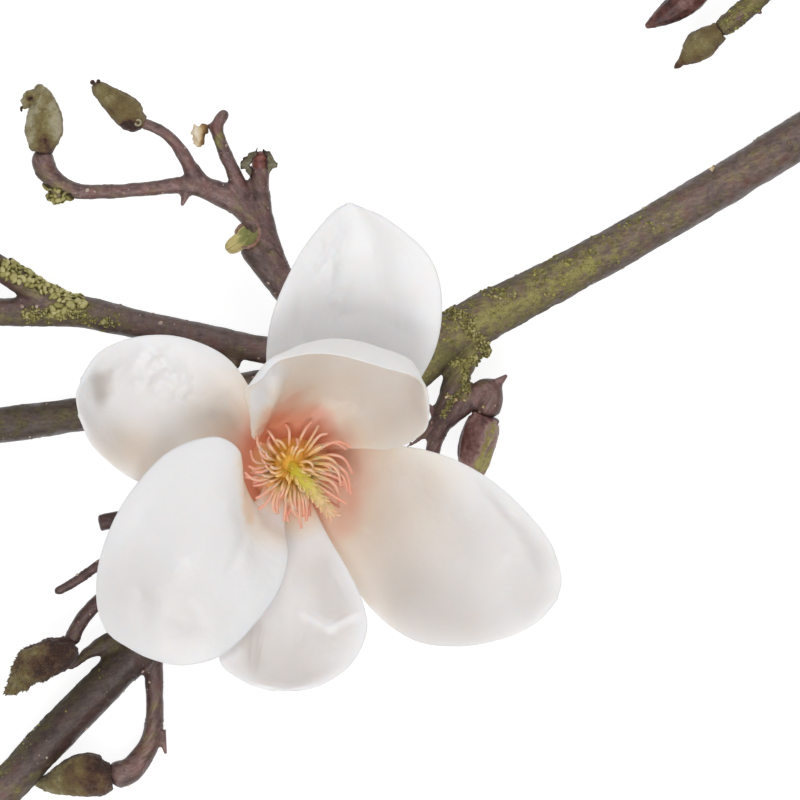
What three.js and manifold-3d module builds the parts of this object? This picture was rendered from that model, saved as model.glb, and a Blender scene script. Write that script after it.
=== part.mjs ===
// A cut magnolia branch with one open flower, lying on a flat surface, in millimetres, +Z up.
// Every point is [x, y, z] from the surface under the middle of the flower, with +X to the right
// along the branch towards its thick cut end. A limb's points carry its radius as a fourth value.
// At the end the whole group is moved, so that its origin is the middle of the branch's base.

import * as THREE from 'three';
import Module from 'manifold-3d';

const wasm = await Module();
wasm.setup();

// ---------------------------------------------------------------- driving dimensions

const GAP = 0.35; // clear space between two pieces that meet
const STEM = { sides: 12, step: 9 }; // faces round a limb, and the length of one of its rings
const SIDE_STEM = { sides: 9, step: 7 };
const TWIG = { sides: 7, step: 4.2 };
const SPUR = { sides: 5, step: 4 };
const BUD = { sides: 10, step: 2.6 };
const FILAMENT = { sides: 3, step: 4.4 };
const CARPEL = { sides: 4, step: 2.6 };

const FLOWER_CENTRE = [-3, 3, 21]; // top of the flower's short stalk
const CORE_R = 4; // radius of the core that the tepals and stamens stand on
const TEPAL_T = 1; // thickness of a tepal's blade
const TEPAL_GRID = { columns: 10, rows: 16 };
const SCALE_T = 0.6; // thickness of the dry scale
const SCALE_GRID = { columns: 4, rows: 5 };
const STAMEN_COUNT = 44;
const STAMEN_R = 0.6;
const CARPEL_COUNT = 26;
const GOLDEN_ANGLE = Math.PI * (3 - Math.sqrt(5));
const GROUND = { width: 600, depth: 40 };

// ---------------------------------------------------------------- the wood's limbs

// The thick stem, from its cut end on the right, over the fork, to its cut end at lower left.
const MAIN_STEM = [
  [190, 127, 6.5, 7.0], [171, 115, 7.0, 6.8], [150, 101.5, 8.2, 6.6], [120, 83, 9.8, 6.4],
  [90, 65.5, 11.2, 6.5], [66, 53, 12.2, 6.9], [52, 45.5, 12.6, 7.5], [41, 38, 12.6, 7.0],
  [27, 24, 12.2, 6.3], [9, 5, 11.3, 6.1], [-12, -16.5, 10.2, 6.0], [-33, -37.5, 9, 5.9],
  [-56, -60, 7.6, 5.9], [-78, -82.5, 6.3, 5.9], [-94, -100, 5.6, 5.8], [-104, -110.5, 5.4, 5.7],
];

// Side stems leave the fork behind the flower and run out to the left. The upper one forks.
const SIDE_STEMS = [
  [
    [46, 42, 12.4, 5.6], [30, 38.5, 12.8, 4.7], [10, 36.5, 12.8, 4.2], [-10, 37.5, 12.4, 4.1],
    [-30, 41.5, 11.8, 4.3], [-52, 46, 11.2, 4.5], [-66, 49, 11, 4.9], [-81, 49, 10.4, 4.4],
    [-92, 49, 9.8, 4.2], [-101, 48.5, 9.2, 4.1],
  ],
  [[-63, 48.5, 11, 3.8], [-75, 52.5, 11.6, 4.0], [-87, 60, 12.4, 3.8], [-100, 68.5, 13.4, 3.6]],
  [
    [38, 36, 12, 5.8], [15, 30.5, 11.2, 5.2], [-15, 26, 9.9, 5.2], [-42, 21.5, 8.4, 5.2],
    [-67, 18, 6.6, 5.2], [-90, 15, 5.5, 5.5], [-102, 13.5, 5.2, 5.5],
  ],
];

// Behind the flower's upper left: a sawn stub with a lip of bark, a broken stub, and the long
// shoot whose three tips carry the upright bud, the upper bud and no bud.
const UPPER_TWIGS = [
  [
    [25, 37, 13, 4.4], [10, 44, 14.2, 4.2], [-4, 56, 15.4, 4.8], [-10, 63.6, 16, 4.7],
    [-14.5, 69.1, 16.4, 4.5], [-17.6, 72.6, 16.7, 4.2],
  ],
  [[-16.5, 70.5, 18.4, 2.0], [-20, 69, 19.2, 1.9], [-22, 68.2, 19.4, 1.4]],
  [
    [-4.5, 56, 15.8, 3.2], [-8.8, 69, 16.8, 3.1], [-11.3, 79.5, 18.2, 2.9], [-12.2, 87.5, 18.8, 2.9],
    [-11.9, 92.5, 19.1, 2.9], [-11.9, 97.2, 19.3, 2.6],
  ],
  [
    [-9, 69, 17, 3.2], [-16.5, 80, 18.2, 3.8], [-23.5, 84.2, 18.8, 3.8], [-33, 87, 19.4, 2.8],
    [-45, 86, 19.4, 2.25], [-60, 85, 19, 2.25], [-68.5, 85.6, 19, 2.6], [-74.3, 89.2, 19.8, 3.1],
    [-76.9, 92.8, 20.6, 3.5], [-77.5, 95.9, 21.1, 3.5],
  ],
  [
    [-27.5, 85.5, 19, 2.8], [-31.8, 90.5, 20.4, 2.5], [-33.8, 94, 21.2, 2.25], [-36.1, 97.8, 21.9, 2.15],
    [-38.9, 101.1, 22.5, 1.85], [-43.2, 104.1, 22.9, 1.75], [-46.3, 105.3, 23.1, 1.9],
  ],
  [
    [-16, 82.5, 18.8, 2.6], [-20, 91, 20.8, 2.3], [-23.5, 99, 22.4, 2.1], [-25, 104.5, 23.4, 1.9],
    [-22, 109.5, 24, 1.7],
  ],
];

// On the flower's right a twig runs down under the tepals, with a bent shoot that ends in a bud.
const RIGHT_TWIGS = [
  [
    [52, 41.5, 12.2, 5.0], [49.6, 35.5, 11.8, 4.3], [47.2, 29.5, 11.2, 3.9], [45.2, 23.5, 10.6, 3.8],
    [42.6, 16.5, 9.8, 3.3], [40.6, 10.2, 9, 2.5], [38.8, 1.5, 8, 2.2], [37, -6, 7.2, 1.9],
  ],
  [
    [42.5, 15, 9.9, 3.0], [46.5, 18.3, 10.4, 2.8], [50.7, 21.6, 10.8, 2.75], [54.2, 25.4, 11.4, 3.1],
    [56.8, 25.6, 11.8, 3.7], [57, 22, 11.4, 3.95], [56.3, 18.9, 11, 3.9],
  ],
];

// Twigs that come out from under the flower at lower left, two of them with a bud.
const LOWER_TWIGS = [
  [
    [-6, -10.5, 10.6, 3.2], [-22.5, -8.5, 12.2, 2.9], [-40, -10.5, 12.6, 2.7], [-53, -13, 12.6, 2.6],
    [-60.5, -14.5, 12.6, 2.6],
  ],
  [
    [-37, -10.5, 12.6, 2.2], [-48, -19.5, 12.8, 1.9], [-61, -27.5, 12.6, 1.7], [-67.5, -32, 12.6, 1.6],
    [-74, -35.5, 12.6, 1.5],
  ],
  [
    [-22, -27, 9.6, 3.2], [-39, -29, 11, 2.8], [-52, -32.5, 11.6, 2.5], [-61, -38.5, 11.6, 2.3],
    [-66, -44, 11.6, 2.3], [-68.6, -49.2, 11.4, 2.4],
  ],
  [[-45, -49.5, 8.6, 3.8], [-56, -50, 9, 3.2], [-63.5, -53.5, 8, 2.0], [-70, -58.8, 6.6, 0.7]],
  [
    [-42, -46, 8.6, 3.2], [-44, -57, 8.2, 2.8], [-43.9, -67.5, 7.8, 2.8], [-44, -75, 7.4, 2.9],
    [-45.9, -81.8, 7.2, 3.2], [-48.5, -86, 7, 3.6], [-51.4, -89.2, 7, 4.0], [-55.8, -90.4, 6.9, 4.2],
  ],
];

// Near the thick cut end a shoot doubles back over the stem, with a bud on each of its forks.
const END_TWIGS = [
  [
    [182, 122, 8, 4.6], [171, 139, 8.4, 3.9], [157, 152, 9.4, 3.4], [145, 149.5, 10.2, 3.1],
    [136, 142, 10.6, 3.3], [131.5, 138, 10.4, 3.3], [127, 134.4, 10.2, 2.7],
  ],
  [[160, 152, 9.4, 3.0], [145, 158, 11.4, 2.6], [132.5, 156.5, 12.8, 2.5], [124.4, 150.2, 13.2, 2.5]],
];

// The flower's own short stalk bends up out of the stem.
const FLOWER_STALK = [
  [22, 20, 12, 4.8], [10, 12, 13.6, 4.0], [1, 6, 15.6, 3.6], [-3, 3, 18.4, 3.6], [-3, 3, 19.8, 4.0],
  [...FLOWER_CENTRE, 4.4],
];

// Thorns, spurs and knobs, each a short taper from its root to its point.
const SPURS = [
  [[-34, 85.5, 19.4, 1.8], [-35.5, 80.8, 19.6, 0.4]],
  [[-75.3, 85.4, 19, 2.3], [-72.8, 83.9, 18.9, 2.1], [-70.6, 83.6, 18.8, 1.4]],
  [[-42, -77, 7.6, 1.6], [-40.5, -84, 8.2, 0.4]],
  [[135.5, 140.8, 10.8, 1.8], [138.8, 138.8, 11.2, 0.4]],
  [[57.5, 26, 12, 2.4], [62.2, 30, 12.6, 0.4]],
  [[-20, 40, 12, 3.0], [-20, 34, 11.6, 2.6], [-18, 32.5, 11.4, 1.6]],
  [[-28, 105.4, 23.6, 0.9], [-25.4, 103, 23, 1.2]],
  [[41.5, 17, 9.8, 2.0], [36, 11, 10.6, 1.0], [31.5, 8, 11, 0.6]],
  [[41, 18, 10.2, 1.8], [38.3, 21.4, 10.8, 0.3]],
];

// The broken stub's torn bark stands round its tip as a ring of small points.
const TORN_STUB = { tip: [-11.9, 95.6, 19.3], radius: 2.6, reach: 4.9, drop: 2.8, count: 5 };

// ---------------------------------------------------------------- the buds

// Each bud runs from its seat on a twig to its point.
const BUDS = {
  bud_upright: [
    [-77.5, 97.1, 21.35, 3.2], [-77.3, 99.5, 21.7, 4.4], [-76.9, 103.5, 21.8, 5.5], [-76.8, 109, 21.8, 4.7],
    [-77, 112.5, 21.8, 3.3], [-78, 115.5, 21.6, 1.9], [-78.4, 117.3, 21.4, 0.7],
  ],
  bud_upper: [
    [-46.9, 105.6, 23.2, 2.1], [-49.3, 106.6, 23.4, 3.9], [-52.2, 109.2, 23.7, 4.5],
    [-56.4, 112.7, 24, 3.5], [-60, 115.7, 24.2, 2.4], [-61.9, 117.4, 24.2, 1.7],
  ],
  bud_right: [
    [56, 17.9, 10.9, 3.8], [55.3, 16, 10.7, 4.8], [54.3, 12.6, 10.5, 5.4], [53, 8, 10.2, 5.3],
    [52.3, 3.2, 10, 4.5], [51.8, -1.2, 9.8, 2.6], [51.6, -4, 9.7, 0.8],
  ],
  bud_left_low: [
    [-69, -50.3, 11.4, 3.2], [-71.3, -52.8, 11.7, 4.9], [-76.3, -55.4, 12, 5.5], [-81.2, -57.8, 12, 5.3],
    [-84.8, -62.3, 11.8, 3.0], [-88.7, -66.5, 11.4, 0.8],
  ],
  bud_low: [
    [-56.9, -90.6, 7, 4.0], [-60, -90.9, 7.1, 5.7], [-64.4, -90.3, 7.3, 6.5], [-69.3, -91.2, 6.5, 5.4],
    [-74.2, -92.6, 4.7, 3.5], [-78.2, -92.9, 2.7, 1.6], [-80, -93.2, 1.9, 0.7],
  ],
  bud_end_low: [
    [126.3, 133.5, 10.2, 2.9], [123.5, 131.6, 10.2, 3.7], [120.3, 129.3, 10.1, 4.4],
    [117.6, 126.8, 9.9, 3.4], [115.2, 124.7, 9.7, 1.9], [112.5, 122.2, 9.5, 0.6],
  ],
  bud_end_high: [
    [123.9, 149.7, 13.2, 2.7], [121, 147.2, 13, 3.8], [117, 143.7, 12.8, 4.4], [112.8, 140.3, 12.4, 3.8],
    [108, 137.2, 12.2, 2.4], [103.8, 134.7, 12, 0.6],
  ],
};

// The upright bud's torn outer scale curls away from it beside its point.
const CURLED_SCALE = {
  bud: 'bud_upright',
  points: [
    [-78.4, 111.4, 22.4, 2.2], [-80.4, 113.5, 23.2, 2.3], [-82, 112.2, 23.4, 1.8],
    [-82.6, 110, 23.4, 0.8],
  ],
};

// A dry papery scale hangs by its foot beside the tip of the twig with no bud.
const DRY_SCALE_ROWS = [
  [[-28.6, 105.4, 25.4], [-27.9, 105.1, 25.1], [-27.4, 104.6, 25.3]],
  [[-32, 104.4, 26], [-30.2, 103.4, 25], [-28, 103.4, 25.8]],
  [[-32.3, 101.5, 26.2], [-30.3, 101.2, 25], [-28.3, 101.2, 26.2]],
  [[-31.8, 98.9, 26.4], [-30.2, 98.7, 25.4], [-28.7, 99, 26.4]],
];

// ---------------------------------------------------------------- the tepals

// A tepal's blade is a net of rows from its base to its tip. Each row runs across the blade,
// from one margin over the midrib to the other. seat is the angle, height and width of its foot
// on the core, and wave is how far its margins roll up and down.
const TEPALS = {
  tepal_top: {
    seat: { angle: 90, z: 23.8, width: 6.6 },
    wave: 0.8,
    rows: [
      [[-7, 16.5, 30], [6.5, 19.5, 27], [24, 15, 30]],
      [[-10, 34, 39], [14, 36, 34.5], [38.5, 33, 39]],
      [[-7.5, 49.5, 45], [16.5, 51, 39.5], [42.5, 49.5, 45]],
      [[0, 65.5, 47], [17.5, 66, 43.5], [39, 64.5, 48]],
      [[9.5, 78, 48.5], [17, 77, 47.5], [26.5, 76, 49]],
      [[14, 81, 49], [15, 81.4, 49], [16, 81, 49]],
    ],
  },
  tepal_left: {
    seat: { angle: 172, z: 22.4, width: 6.6 },
    wave: 0.9,
    rows: [
      [[-12, 20, 30.5], [-15, 10, 27], [-13, -4.5, 26.5]],
      [[-20.5, 34, 35.5], [-26, 18, 30], [-22.5, -4.5, 30]],
      [[-33, 40.5, 38], [-37.5, 20.5, 31.5], [-35.5, -4, 33.5]],
      [[-46.5, 41.5, 40], [-49, 21.5, 33], [-48.5, -1.5, 36.5]],
      [[-59, 37, 42.5], [-59, 23, 36.5], [-60, 7.5, 41]],
      [[-66, 27, 44], [-66.6, 25, 43.5], [-66, 22.5, 44]],
    ],
  },
  tepal_right: {
    seat: { angle: -18, z: 22.4, width: 7.6 },
    wave: 0.8,
    rows: [
      [[9, -20.5, 26], [14.5, -6, 26.5], [13.5, 9, 29.5]],
      [[20, -38.5, 29.5], [28.5, -13.5, 29.5], [31.5, 8.5, 35]],
      [[33, -49, 33.5], [41, -19.5, 32], [45, 5, 39]],
      [[46.5, -51.3, 37], [53, -25, 35], [57, -1.5, 42]],
      [[60, -49, 40], [63.5, -29, 38], [66.5, -10, 43.5]],
      [[70.5, -44, 42.5], [72, -31.5, 41], [74, -19, 44]],
      [[77, -37, 44], [78.2, -32, 43.6], [77.5, -27, 44.2]],
    ],
  },
  tepal_hood: {
    seat: { angle: 84, z: 27, width: 6.6 },
    wave: 0.3,
    rows: [
      [[-11.5, 11, 38], [-9, 14, 36], [2, 15.5, 33.5], [12, 12.5, 34.5], [17, 8, 37]],
      [[-14, 12.5, 46], [-10, 19, 48.5], [6, 24, 38.5], [22, 19, 39], [28, 8, 43.5]],
      [[-13, 17, 50.5], [-8, 24.5, 56], [9, 32, 46.5], [29, 26, 45.5], [36.5, 12.5, 50]],
      [[-16, 23.5, 55.5], [-7, 31.5, 61], [10, 38.5, 54], [31.5, 32, 53.5], [38.2, 18, 55]],
      [[-14.5, 26.5, 58.5], [-7, 35, 63.5], [10.5, 40.5, 60.5], [31, 34.5, 60], [38, 24.5, 58.5]],
      [[-11.5, 28.5, 60.5], [-5, 34.5, 65], [9, 36, 65.5], [26.5, 31.5, 64.5], [36.5, 28.8, 61.5]],
    ],
  },
  tepal_lower_left: {
    seat: { angle: 222, z: 27.2, width: 6 },
    wave: 0.7,
    rows: [
      [[-13.5, -8, 33], [-9.5, -12, 31], [-4.5, -15.5, 30.5]],
      [[-17, -1, 40], [-13, -14.5, 35.5], [-3.5, -24, 34]],
      [[-18, 7.5, 44], [-17, -16.5, 39], [-5.5, -33, 36.5]],
      [[-26, 11.5, 46], [-22, -19.5, 42.5], [-11.5, -42.5, 38.5]],
      [[-40, 6.5, 45], [-31, -25.5, 44], [-22.5, -53.5, 38.5]],
      [[-53, -8.5, 41], [-42, -32.5, 42], [-34.5, -57, 37.5]],
      [[-60, -25, 37], [-51, -39.5, 38.5], [-45, -55, 35.5]],
      [[-61, -38.5, 34], [-56.5, -44.5, 34.5], [-53, -51, 33.5]],
      [[-58.5, -45.5, 32.5], [-57.8, -47, 32.8], [-56.5, -48.3, 32.5]],
    ],
  },
  tepal_bottom: {
    seat: { angle: 276, z: 24.8, width: 6 },
    wave: 0.7,
    rows: [
      [[-6.5, -14.5, 27.6], [1.5, -17.5, 26.6], [7.5, -16.5, 28.2]],
      [[-8, -25.5, 29.5], [2.5, -28.5, 27.8], [14, -28, 32]],
      [[-13.5, -36, 31.5], [2, -39, 30], [18.8, -38.5, 35]],
      [[-21, -47, 33.5], [0.5, -49.5, 33], [20, -47, 37]],
      [[-24, -55.5, 36], [-1.5, -58, 36], [15.8, -56, 38.5]],
      [[-16.5, -61.5, 38.5], [-4, -62.8, 38.5], [7.5, -62, 39.5]],
      [[-7.5, -64.3, 40], [-5, -64.7, 40], [-2.5, -64.5, 40]],
    ],
  },
};

// ---------------------------------------------------------------- the flower's middle

// The core runs up from the stalk and leans over to the lower right, with the carpels' tips
// round its upper part.
const CORE = [
  [-3, 3, FLOWER_CENTRE[2] + GAP, CORE_R], [-3, 3, 26, CORE_R], [-3, 3, 30.5, 3.2],
  [-1.5, 1.5, 34.5, 2.8], [2, -2.5, 38.5, 2.3], [6, -7.5, 42, 1.7], [9.5, -11.5, 44, 1.1],
  [11, -13, 44.4, 0.6],
];
const CARPELS = { first: 0.42, last: 0.9, length: 2.4, flare: 1.2 };

// One ring round the core carries every stamen.
const COLLAR = { inner: CORE_R + GAP, outer: 5.6, low: 28.8, high: 31, sides: 20 };

// A filament's points as distance from the flower's axis and height. Those under the leaning
// core run out low below it, and the rest stand in an outer, flatter and an inner, steeper tier.
const FILAMENT_TIERS = {
  outer: [[5, 30], [7.6, 34.6], [11, 38.8], [14.2, 41], [16.4, 40]],
  inner: [[5, 30], [6.2, 36], [8.4, 41], [11.2, 44], [13.6, 44.4]],
  under: [[5, 30], [8, 32.4], [11.4, 34.4], [14.6, 35.8], [16.8, 36.2]],
};
const LEAN = { x: 3.6, y: -3.6 }; // how far a filament's tip leans with the core
const LEAN_ANGLE = -0.87;
const LEAN_SPREAD = { under: 0.7, outer: 1.3 }; // turns off the lean that keep a filament low

// ---------------------------------------------------------------- shared geometry helpers

const vector = ([x, y, z]) => new THREE.Vector3(x, y, z);

// The same stream of even random numbers on every run.
function randomStream(seed) {
  let state = seed;
  return () => {
    state = (state * 1664525 + 1013904223) % 4294967296;
    return state / 4294967296;
  };
}

function indexed(positions, faces) {
  const geometry = new THREE.BufferGeometry();
  geometry.setAttribute('position', new THREE.Float32BufferAttribute(positions, 3));
  geometry.setIndex(faces);
  return geometry;
}

function toSolid(geometry) {
  return new wasm.Manifold(new wasm.Mesh({
    numProp: 3,
    vertProperties: new Float32Array(geometry.getAttribute('position').array),
    triVerts: new Uint32Array(geometry.getIndex().array),
  }));
}

function toGeometry(solid) {
  const mesh = solid.getMesh();
  return indexed(Array.from(mesh.vertProperties), Array.from(mesh.triVerts));
}

function joined(geometries) {
  return geometries.map(toSolid).reduce((body, next) => body.add(next));
}

// A closed tube along a smooth curve through [x, y, z, radius] points, with flat ends.
// lump gives each vertex a factor on its radius from its place along the tube and round it.
function limb(points, { sides, step }, lump = () => 1) {
  const curve = new THREE.CatmullRomCurve3(points.map(vector), false, 'centripetal');
  const rings = Math.max(2, Math.round(curve.getLength() / step));
  const frames = curve.computeFrenetFrames(rings, false);
  const positions = [];
  for (let ring = 0; ring <= rings; ring += 1) {
    const along = curve.getUtoTmapping(ring / rings) * (points.length - 1);
    const before = Math.min(Math.floor(along), points.length - 2);
    const radius = THREE.MathUtils.lerp(points[before][3], points[before + 1][3], along - before);
    const centre = curve.getPointAt(ring / rings);
    for (let side = 0; side < sides; side += 1) {
      const angle = (side / sides) * 2 * Math.PI;
      const reach = radius * lump(centre, angle);
      const vertex = centre.clone()
        .addScaledVector(frames.normals[ring], reach * Math.cos(angle))
        .addScaledVector(frames.binormals[ring], reach * Math.sin(angle));
      positions.push(vertex.x, vertex.y, vertex.z);
    }
  }
  const faces = [];
  for (let ring = 0; ring < rings; ring += 1) {
    for (let side = 0; side < sides; side += 1) {
      const a = ring * sides + side;
      const b = ring * sides + ((side + 1) % sides);
      faces.push(a, b, b + sides, a, b + sides, a + sides);
    }
  }
  const last = rings * sides;
  for (let side = 1; side < sides - 1; side += 1) {
    faces.push(0, side + 1, side, last, last + side, last + side + 1);
  }
  return indexed(positions, faces);
}

// A smooth surface through a net of points: curves along the net's columns, then across them.
function netSurface(rows) {
  const columns = rows[0].map((_, column) => new THREE.CatmullRomCurve3(
    rows.map((row) => row[column]), false, 'catmullrom', 0.5,
  ));
  return (u, v) => {
    const across = columns.map((column) => column.getPoint(v));
    return new THREE.CatmullRomCurve3(across, false, 'catmullrom', 0.5).getPoint(u);
  };
}

// A closed blade of even thickness round a mid-surface, split into triangles alike on both faces.
function blade(surface, thickness, { columns, rows }) {
  const upper = [];
  const lower = [];
  const reach = 0.004;
  for (let j = 0; j <= rows; j += 1) {
    for (let i = 0; i <= columns; i += 1) {
      const [u, v] = [i / columns, j / rows];
      const alongU = surface(Math.min(1, u + reach), v).sub(surface(Math.max(0, u - reach), v));
      const alongV = surface(u, Math.min(1, v + reach)).sub(surface(u, Math.max(0, v - reach)));
      const normal = alongU.cross(alongV).normalize().multiplyScalar(thickness / 2);
      upper.push(...surface(u, v).add(normal).toArray());
      lower.push(...surface(u, v).sub(normal).toArray());
    }
  }
  const faces = [];
  const under = (columns + 1) * (rows + 1);
  const at = (i, j) => j * (columns + 1) + i;
  const quad = (a, b, c, d) => faces.push(a, b, c, a, c, d);
  const edge = (a, b) => quad(a, a + under, b + under, b);
  for (let j = 0; j < rows; j += 1) {
    for (let i = 0; i < columns; i += 1) {
      const [a, b, c, d] = [at(i, j), at(i + 1, j), at(i + 1, j + 1), at(i, j + 1)];
      quad(a, b, c, d);
      faces.push(a + under, c + under, b + under, a + under, d + under, c + under);
    }
  }
  for (let i = 0; i < columns; i += 1) {
    edge(at(i, 0), at(i + 1, 0));
    edge(at(i + 1, rows), at(i, rows));
  }
  for (let j = 0; j < rows; j += 1) {
    edge(at(0, j + 1), at(0, j));
    edge(at(columns, j), at(columns, j + 1));
  }
  return indexed([...upper, ...lower], faces);
}

// ---------------------------------------------------------------- the wood

// Bark is never quite round: slow swellings of about a thirtieth of the radius.
function barkLump(centre, angle) {
  const slow = Math.sin(centre.x * 0.21 + 2 * angle) * 0.03;
  const quick = Math.sin(centre.y * 0.37 - 3 * angle + centre.x * 0.11) * 0.025;
  return 1 + slow + quick;
}

function tornStub({ tip: [x, y, z], radius, reach, drop, count }) {
  const points = [];
  for (let index = 0; index < count; index += 1) {
    const angle = (index / count) * 2 * Math.PI + 0.4;
    const at = (distance, rise, size) => [
      x + distance * Math.cos(angle), y + rise, z + distance * Math.sin(angle), size,
    ];
    points.push(limb([at(radius / 2, -3, 1.1), at(reach * 0.9, 1, 1), at(reach, -drop, 0.5)], SPUR));
  }
  return points;
}

// A box whose top is the surface that the branch lies on.
function ground({ width, depth }) {
  const half = width / 2;
  const positions = [];
  for (const z of [-depth, 0]) {
    positions.push(-half, -half, z, half, -half, z, half, half, z, -half, half, z);
  }
  const faces = [
    0, 2, 1, 0, 3, 2, 4, 5, 6, 4, 6, 7, 0, 1, 5, 0, 5, 4,
    1, 2, 6, 1, 6, 5, 2, 3, 7, 2, 7, 6, 3, 0, 4, 3, 4, 7,
  ];
  return indexed(positions, faces);
}

// Everything that grew as one piece of wood. What would reach below the surface is cut flat,
// so that the branch rests on the thick cut end, the thin cut end and one side stem's end.
function wood() {
  const twigs = [...UPPER_TWIGS, ...RIGHT_TWIGS, ...LOWER_TWIGS, ...END_TWIGS, FLOWER_STALK];
  const pieces = [
    limb(MAIN_STEM, STEM, barkLump),
    ...SIDE_STEMS.map((points) => limb(points, SIDE_STEM, barkLump)),
    ...twigs.map((points) => limb(points, TWIG, barkLump)),
    ...SPURS.map((points) => limb(points, SPUR)),
    ...tornStub(TORN_STUB),
  ];
  return toGeometry(joined(pieces).subtract(toSolid(ground(GROUND))));
}

// A bud is one taper, with the torn scale fused to the one that has it.
function bud(name, points) {
  const body = limb(points, BUD);
  if (name !== CURLED_SCALE.bud) {
    return body;
  }
  return toGeometry(joined([body, limb(CURLED_SCALE.points, SPUR)]));
}

function dryScale() {
  return blade(netSurface(DRY_SCALE_ROWS.map((row) => row.map(vector))), SCALE_T, SCALE_GRID);
}

// ---------------------------------------------------------------- the flower

// A tepal's foot is a straight row along the core's side, in the order of the net's first row.
function tepalFoot({ angle, z, width }, firstRow) {
  const turn = THREE.MathUtils.degToRad(angle);
  const outward = new THREE.Vector3(Math.cos(turn), Math.sin(turn), 0);
  const sideways = new THREE.Vector3(-outward.y, outward.x, 0);
  const last = firstRow.length - 1;
  const order = Math.sign(sideways.dot(vector(firstRow[last]).sub(vector(firstRow[0]))));
  return firstRow.map((_, column) => vector(FLOWER_CENTRE).setZ(z)
    .addScaledVector(outward, CORE_R + GAP + TEPAL_T / 2)
    .addScaledVector(sideways, order * (column / last - 0.5) * width));
}

function tepal({ seat, wave, rows }) {
  const net = netSurface([tepalFoot(seat, rows[0]), ...rows.map((row) => row.map(vector))]);
  const surface = (u, v) => {
    const margin = Math.abs(2 * u - 1) ** 4 * v * (1 - v) * 4;
    const point = net(u, v);
    point.z += wave * margin * Math.sin(9 * v + 5 * u + seat.angle);
    return point;
  };
  return blade(surface, TEPAL_T, TEPAL_GRID);
}

function pistil() {
  const random = randomStream(7);
  const axis = new THREE.CatmullRomCurve3(CORE.map(vector), false, 'centripetal');
  const pieces = [limb(CORE, { sides: 10, step: 3.2 })];
  for (let index = 0; index < CARPEL_COUNT; index += 1) {
    const along = THREE.MathUtils.lerp(CARPELS.first, CARPELS.last, index / CARPEL_COUNT);
    const angle = index * GOLDEN_ANGLE;
    const centre = axis.getPoint(along);
    const tangent = axis.getTangent(along);
    const side = new THREE.Vector3(Math.cos(angle), Math.sin(angle), 0.1);
    side.addScaledVector(tangent, -side.dot(tangent)).normalize();
    const shrink = THREE.MathUtils.lerp(1, 0.45, index / CARPEL_COUNT);
    const length = CARPELS.length * (0.8 + 0.4 * random());
    const point = (out, up, size) => [
      ...centre.clone().addScaledVector(side, out * shrink).addScaledVector(tangent, up).toArray(), size,
    ];
    const tip = point(2.8 + CARPELS.flare, length, 0.4);
    pieces.push(limb([point(0.8, -0.6, 0.9), point(2.8, length * 0.45, 0.75), tip], CARPEL));
  }
  return toGeometry(joined(pieces));
}

function collar({ inner, outer, low, high, sides }) {
  const [x, y] = FLOWER_CENTRE;
  const positions = [];
  const faces = [];
  for (let side = 0; side < sides; side += 1) {
    const angle = (side / sides) * 2 * Math.PI;
    [[inner, low], [outer, low], [outer, high], [inner, high]].forEach(([radius, z], corner) => {
      positions.push(x + radius * Math.cos(angle), y + radius * Math.sin(angle), z);
      const next = ((side + 1) % sides) * 4;
      const after = (corner + 1) % 4;
      const own = side * 4;
      faces.push(own + corner, next + corner, next + after, own + corner, next + after, own + after);
    });
  }
  return indexed(positions, faces);
}

function filamentPath(index, random) {
  const angle = index * GOLDEN_ANGLE;
  const off = Math.abs(Math.atan2(Math.sin(angle - LEAN_ANGLE), Math.cos(angle - LEAN_ANGLE)));
  const steep = index % 2 === 1 && off > LEAN_SPREAD.outer;
  const upper = steep ? FILAMENT_TIERS.inner : FILAMENT_TIERS.outer;
  const tier = off < LEAN_SPREAD.under ? FILAMENT_TIERS.under : upper;
  const twist = (random() - 0.5) * 0.5;
  const stretch = 0.88 + random() * 0.12;
  const lift = random() * 2 - 0.5;
  return tier.map(([radius, z], step) => {
    const share = step / (tier.length - 1);
    const turn = angle + twist * share * share;
    const reach = radius * THREE.MathUtils.lerp(1, stretch, share);
    return [
      FLOWER_CENTRE[0] + LEAN.x * share + reach * Math.cos(turn),
      FLOWER_CENTRE[1] + LEAN.y * share + reach * Math.sin(turn),
      z + lift * share,
      STAMEN_R * (1 - 0.2 * share),
    ];
  });
}

function stamens() {
  const random = randomStream(31);
  const pieces = [collar(COLLAR)];
  for (let index = 0; index < STAMEN_COUNT; index += 1) {
    pieces.push(limb(filamentPath(index, random), FILAMENT));
  }
  return toGeometry(joined(pieces));
}

// ---------------------------------------------------------------- materials

const finish = (color, roughness) => new THREE.MeshStandardMaterial({ color, roughness });
const BARK_FINISH = finish('#5d4a45', 0.8);
const BUD_FINISH = finish('#6f6a3c', 0.85);
const TEPAL_FINISH = finish('#efeceb', 0.42);
const STAMEN_FINISH = finish('#dd9273', 0.5);
const PISTIL_FINISH = finish('#c9b02e', 0.55);
const SCALE_FINISH = finish('#cdb893', 0.8);

// ---------------------------------------------------------------- the branch

const branch = new THREE.Group();

function addPiece(name, geometry, surface) {
  const piece = new THREE.Mesh(geometry, surface);
  piece.name = name;
  branch.add(piece);
}

addPiece('wood', wood(), BARK_FINISH);
for (const [name, shape] of Object.entries(TEPALS)) {
  addPiece(name, tepal(shape), TEPAL_FINISH);
}
for (const [name, points] of Object.entries(BUDS)) {
  addPiece(name, bud(name, points), BUD_FINISH);
}
addPiece('stamens', stamens(), STAMEN_FINISH);
addPiece('pistil', pistil(), PISTIL_FINISH);
addPiece('dry_scale', dryScale(), SCALE_FINISH);

const box = new THREE.Box3().setFromObject(branch);
const middle = box.getCenter(new THREE.Vector3());
branch.position.set(-middle.x, -middle.y, -box.min.z);

export default branch;
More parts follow.
